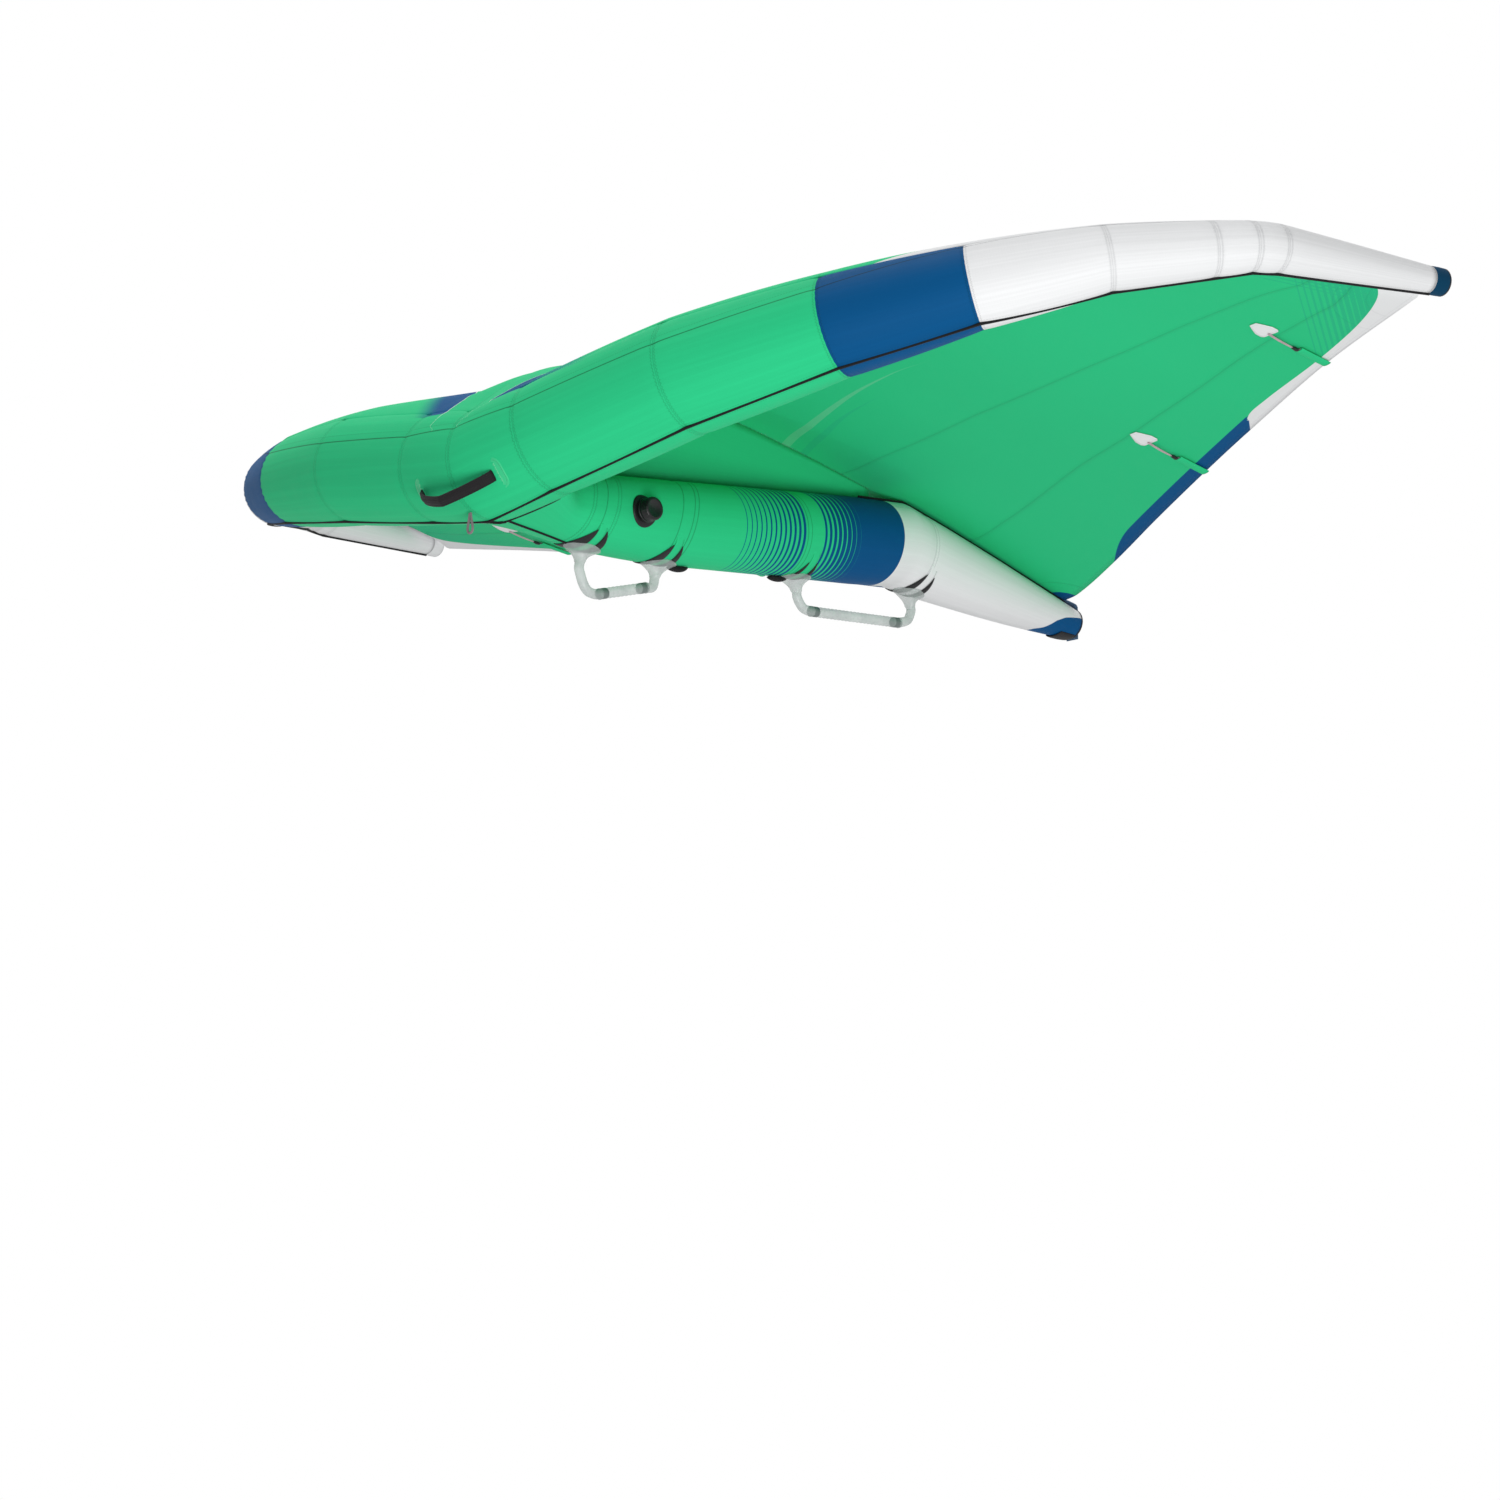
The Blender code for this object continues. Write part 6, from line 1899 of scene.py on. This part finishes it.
@dataclass
class Tips:
    """The cap on each end of the leading edge and the plug in it."""

    shape: WingShape
    length: float = 0.036
    lip: float = 0.0045
    plug_depth: float = 0.022
    cap_wall: float = 0.0022

    def build(self) -> None:
        """Both tips."""
        radius, end = self.shape.tube_radii[-1], self.shape.tube_path[-1]
        along = (end - self.shape.tube_path[-2]).normalized()
        place = end + along * 0.0003
        inner, top, edge = radius - self.cap_wall, self.length + 0.0003, self.lip / 3.0
        cap = [(inner, 0.0), (radius - 0.0003, 0.0)]
        cap += [(radius + 0.0005 * math.sin(math.pi * share), self.length * share) for share in steps(0.04, 0.96, 12)]
        cap += [(radius - 0.0004, self.length), (inner, self.length), (inner, 0.0)]
        plug = ((0.0, top + self.lip), (radius - edge * 2.0, top + self.lip),
                (radius - edge * 0.6, top + self.lip - edge * 0.5), (radius, top + self.lip - edge * 1.4),
                (radius, top), (inner - 0.0006, top), (inner - 0.0006, top - self.plug_depth),
                (0.0, top - self.plug_depth))
        for side, dye, slot, rubber in ((Side.RIGHT, DYES.deep_blue, "blue_cloth", srgb(26, 26, 28)),
                                        (Side.LEFT, DYES.white, "white_cloth", srgb(214, 215, 216))):
            spot, facing = (v if side is Side.RIGHT else self.shape.flip(v) for v in (place, along))
            add_piece(f"tip_cover_{side.word}", turned(cap, 48, spot, facing), [PlainCloth("tip_cloth", dye).make()],
                      slot, f"tip_cap_{side.word}")
            add_piece(f"tip_end_{side.word}", turned(plug, 48, spot, facing),
                      [Moulded("plug_rubber", rubber, 0.5).make()], "black_rubber", f"tip_plug_{side.word}")


@dataclass
class Batten:
    """A batten under the trailing edge: its pocket, its tension line with a toggle, and the line's patch."""

    shape: WingShape
    name: str
    side: Side
    span_share: float
    patch_front: float = 0.262
    patch_rear: float = 0.198
    patch_narrow: float = 0.016
    patch_wide: float = 0.046
    toggle: float = 0.110
    toggle_radius: float = 0.0042
    toggle_length: float = 0.016
    line_radius: float = 0.0015
    line_drop: float = 0.0070
    line_aside: float = 0.0016
    pocket_start: float = 0.103
    pocket_end: float = 0.003
    pocket_half_width: float = 0.0105
    pocket_half_height: float = 0.0028
    strip_half: Point = (0.0060, 0.0010)
    gap: float = 0.0018

    def spot(self, ahead: float, across: float, drop: float) -> Vector:
        """A point under the sail: ahead of the trailing edge, beside the batten's line, below the cloth."""
        end = self.shape.trailing_edge(self.span_share) - self.shape.nose
        point = self.shape.under_sail(end.x + across, end.y - ahead, drop)
        return point if self.side is Side.RIGHT else self.shape.flip(point)

    @property
    def label(self) -> str:
        """The batten's name and side."""
        return f"{self.name}_{self.side.word}"

    def build_patch(self) -> None:
        """The tag-shaped patch that the line starts from."""
        def spot(share: float, across: float) -> Vector:
            """A point of the patch, its share counted from its narrow front."""
            widening = min(share / 0.60, 1.0) ** 0.9 * (1.0 - 0.30 * ease(share, 0.90, 1.0))
            half = between(self.patch_narrow, self.patch_wide, widening) / 2.0
            return self.spot(between(self.patch_front, self.patch_rear, share), across * half, self.gap)

        bm = mapped_grid(steps(0.0, 1.0, 20), steps(-1.0, 1.0, 10), spot,
                         lambda share, across: (share * 0.064, across * self.patch_wide / 2.0))
        add_piece(f"batten_tag_{self.label}", face_up(bm, False), [BattenTagCloth().make()], "white_cloth",
                  f"batten_patch_{self.label}", wall=0.0012, offset=1.0)

    def build_line(self) -> None:
        """The thin line and the toggle on it."""
        start = self.spot(self.patch_rear + 0.010, 0.0, self.gap + 0.0030)
        near = self.spot(self.toggle + self.toggle_length, 0.0, self.line_drop)
        far = self.spot(self.toggle - 0.004, 0.0, self.line_drop)
        for across, word in ((-self.line_aside, "a"), (self.line_aside, "b")):
            shift = X_AXIS * across
            points = (start + shift, start.lerp(near, 0.5) + shift - Z_AXIS * 0.0012, near + shift * 0.4)
            path = [Vector(point) for point in smooth_line(points, 8)]
            radii = [self.line_radius] * len(path)
            add_piece(f"batten_cord_{self.label}_{word}", sweep(path, radii, radii, 10),
                      [Webbing(srgb(226, 196, 204), 0.0016).make()], "black_webbing")
        count = 16
        path = [near.lerp(far, i / count) for i in range(count + 1)]
        radii = [self.toggle_radius * (0.55 + 0.45 * math.sin(math.pi * min(max(i / count, 0.08), 0.92)) ** 0.6)
                 * (1.0 if i % 4 else 0.90) for i in range(count + 1)]
        add_piece(f"batten_toggle_{self.label}", sweep(path, radii, radii, 20),
                  [Moulded("toggle_plastic", srgb(26, 26, 28), 0.4).make()], "black_webbing",
                  f"batten_line_{self.label}")

    def build_pocket(self) -> None:
        """The sewn pocket, a flat sleeve with thin edges, and the strip in it."""
        drop, half = self.gap + 0.0030, self.pocket_half_width
        bm = mapped_grid(steps(self.pocket_start, self.pocket_end, 16), steps(0.0, math.tau, 24),
                         lambda ahead, turn: self.spot(ahead, math.cos(turn) * half,
                                                       drop - math.sin(turn) * self.pocket_half_height),
                         lambda ahead, turn: (ahead, math.cos(turn) * half))
        add_piece(f"batten_pocket_{self.label}", close_up(bm), [PlainCloth("pocket_cloth", DYES.green).make()],
                  "green_cloth", f"batten_sleeve_{self.label}", wall=0.0008)
        path = [self.spot(ahead, 0.0, drop) for ahead in steps(self.pocket_start + 0.004, self.pocket_end + 0.002, 12)]
        widths, depths = ([size] * len(path) for size in self.strip_half)
        add_piece(f"batten_strip_{self.label}", sweep(path, widths, depths, 12),
                  [Moulded("batten_fibre", srgb(96, 98, 100), 0.35).make()], "fibre", f"batten_{self.label}")

    def build(self) -> None:
        """Every piece of the batten."""
        self.build_patch()
        self.build_line()
        self.build_pocket()


def dress_nodes() -> None:
    """Give each solid of the frame that is shown the finish of its slot."""
    cloths = (("green_cloth", DYES.green), ("white_cloth", DYES.white), ("blue_cloth", DYES.deep_blue))
    mouldings = (
        ("black_rubber", srgb(30, 30, 32), 0.5), ("black_plastic", srgb(26, 26, 28), 0.35),
        ("black_webbing", srgb(30, 30, 32), 0.8), ("blue_webbing", srgb(70, 100, 130), 0.8),
        ("pale_moulding", srgb(214, 222, 218), 0.3), ("pale_cord", srgb(190, 176, 180), 0.7),
        ("fibre", srgb(90, 90, 92), 0.4),
    )
    finishes = {name: PlainCloth(name, dye).make() for name, dye in cloths}
    finishes |= {name: Moulded(name, tint, roughness).make() for name, tint, roughness in mouldings}
    finishes["bladder_film"] = Film().make()
    for subpart in frame["record"]["subparts"]:
        node = frame["nodes"][subpart["node"]]
        node.data.materials.clear()
        node.data.materials.append(finishes[subpart["material_slot"]])


# The studio

def add_to_scene(name: str, data: bpy.types.ID, place: Vector, forward: Vector, right: Vector) -> bpy.types.Object:
    """A lamp or camera that looks forward, with its own right side where it is asked for."""
    owner = bpy.data.objects.new(name, data)
    bpy.context.scene.collection.objects.link(owner)
    owner.location = place
    back = -forward.normalized()
    up = back.cross(right).normalized()
    owner.rotation_mode = "QUATERNION"
    owner.rotation_quaternion = Matrix((up.cross(back), up, back)).transposed().to_quaternion()
    return owner


@dataclass
class Studio:
    """The floor, the light and the camera."""

    floor_drop: float = 8.5
    floor_size: float = 60.0
    floor_glow: float = 0.42
    lens: float = 91.72
    camera_place: Colour = (5.8965, -5.5486, -1.8752)
    camera_forward: Colour = (-0.69154, 0.69815, 0.18537)
    camera_right: Colour = (0.70979, 0.70439, -0.00500)
    world_level: float = 0.45
    # Each lamp's name, place, size across and power in watts
    lamps: tuple[tuple[str, Colour, float, float], ...] = (
        ("key", (4.4, -2.6, -2.8), 2.0, 188.0), ("top", (0.0, -0.8, 6.0), 3.0, 165.0))
    seen_by: tuple[str, ...] = ("Is Camera Ray", "Is Glossy Ray", "Is Transmission Ray")

    def build(self) -> None:
        """Set the studio up."""
        self.build_world()
        self.build_floor()
        self.build_lamps()
        self.build_camera()
        bpy.context.scene.view_settings.view_transform = "Standard"

    def build_world(self) -> None:
        """A white background and an even light."""
        world = bpy.data.worlds.new("studio")
        bpy.context.scene.world = world
        world.use_nodes = True
        nodes, link = world.node_tree.nodes, world.node_tree.links.new
        nodes.clear()
        rays = nodes.new("ShaderNodeLightPath").outputs
        seen = rays[self.seen_by[0]]
        for kind in self.seen_by[1:]:
            either = nodes.new("ShaderNodeMath")
            either.operation = "MAXIMUM"
            link(seen, either.inputs[0])
            link(rays[kind], either.inputs[1])
            seen = either.outputs[0]
        mix = nodes.new("ShaderNodeMixShader")
        link(seen, mix.inputs[0])
        for socket, strength in zip(mix.inputs[1:], (self.world_level, 1.0)):
            light = nodes.new("ShaderNodeBackground")
            light.inputs["Color"].default_value = (1.0, 1.0, 1.0, 1.0)
            light.inputs["Strength"].default_value = strength
            link(light.outputs[0], socket)
        link(mix.outputs[0], nodes.new("ShaderNodeOutputWorld").inputs["Surface"])

    def build_floor(self) -> None:
        """A pale floor far below the wing, which is held up in the air."""
        bm = bmesh.new()
        bmesh.ops.create_grid(bm, x_segments=1, y_segments=1, size=self.floor_size,
                              matrix=Matrix.Translation((0.0, 0.0, -self.floor_drop)))
        paint = Paint("floor")
        cloud = paint.noise(0.4)
        rays = paint.node("ShaderNodeLightPath", {}).outputs
        camera, glossy, through = (Value(paint, rays[kind]) for kind in self.seen_by)
        paint.feed(paint.shader.inputs["Emission Color"], camera.most(glossy).most(through))
        finish = paint.finish(paint.tone(srgb(246, 246, 246), 0.99 + cloud * 0.02), 0.9,
                              Emission_Strength=self.floor_glow)
        new_piece("floor", bm, finish)

    def build_lamps(self) -> None:
        """A large soft lamp in front of and below the right half, and another over the wing."""
        for name, place, size, power in self.lamps:
            light = bpy.data.lights.new(name, "AREA")
            light.energy, light.size = power, size
            add_to_scene(name, light, Vector(place), -Vector(place), X_AXIS).visible_camera = False

    def build_camera(self) -> None:
        """The photograph's camera."""
        lens = bpy.data.cameras.new("camera")
        lens.lens = self.lens
        lens.sensor_width = 36.0
        lens.clip_start, lens.clip_end = 0.1, 200.0
        bpy.context.scene.camera = add_to_scene("camera", lens, Vector(self.camera_place),
                                                Vector(self.camera_forward), Vector(self.camera_right))


def main() -> None:
    """Build every piece in order."""
    logging.basicConfig(level=logging.INFO, format="%(message)s")
    shape = WingShape()
    Studio().build()
    battens = [Batten(shape, name, side, share) for side in Side
               for name, share in (("inner", 0.4475), ("outer", 0.7615))]
    handles = [
        GripHandle(shape, "front", (0.2535, 0.481),
                   ((0.2550, -0.1810), (0.2595, -0.1948), (0.2676, -0.2133), (0.2805, -0.2268), (0.2990, -0.2304),
                    (0.3149, -0.2283)),
                   ((0.4776, -0.1790), (0.4712, -0.1888), (0.4529, -0.1919)),
                   ((0.036, 0.024, 50.0), (0.034, 0.020, 46.0))),
        GripHandle(shape, "rear", (0.910, 1.3165),
                   ((0.9300, -0.1360), (0.9387, -0.1495), (0.9523, -0.1604), (0.9753, -0.1628)),
                   ((1.3152, -0.1067), (1.3100, -0.1209), (1.2999, -0.1342), (1.2707, -0.1438)),
                   ((0.016, 0.014, 40.0), (0.026, 0.020, 46.0))),
    ]
    for part in (LeadingEdge(shape), Strut(shape), Sail(shape), StrutEnd(shape), *handles, LineTabs(shape),
                 InflationValve(shape), NoseGear(shape), Tips(shape), *battens):
        part.build()
    dress_nodes()


if __name__ == "__main__":
    main()
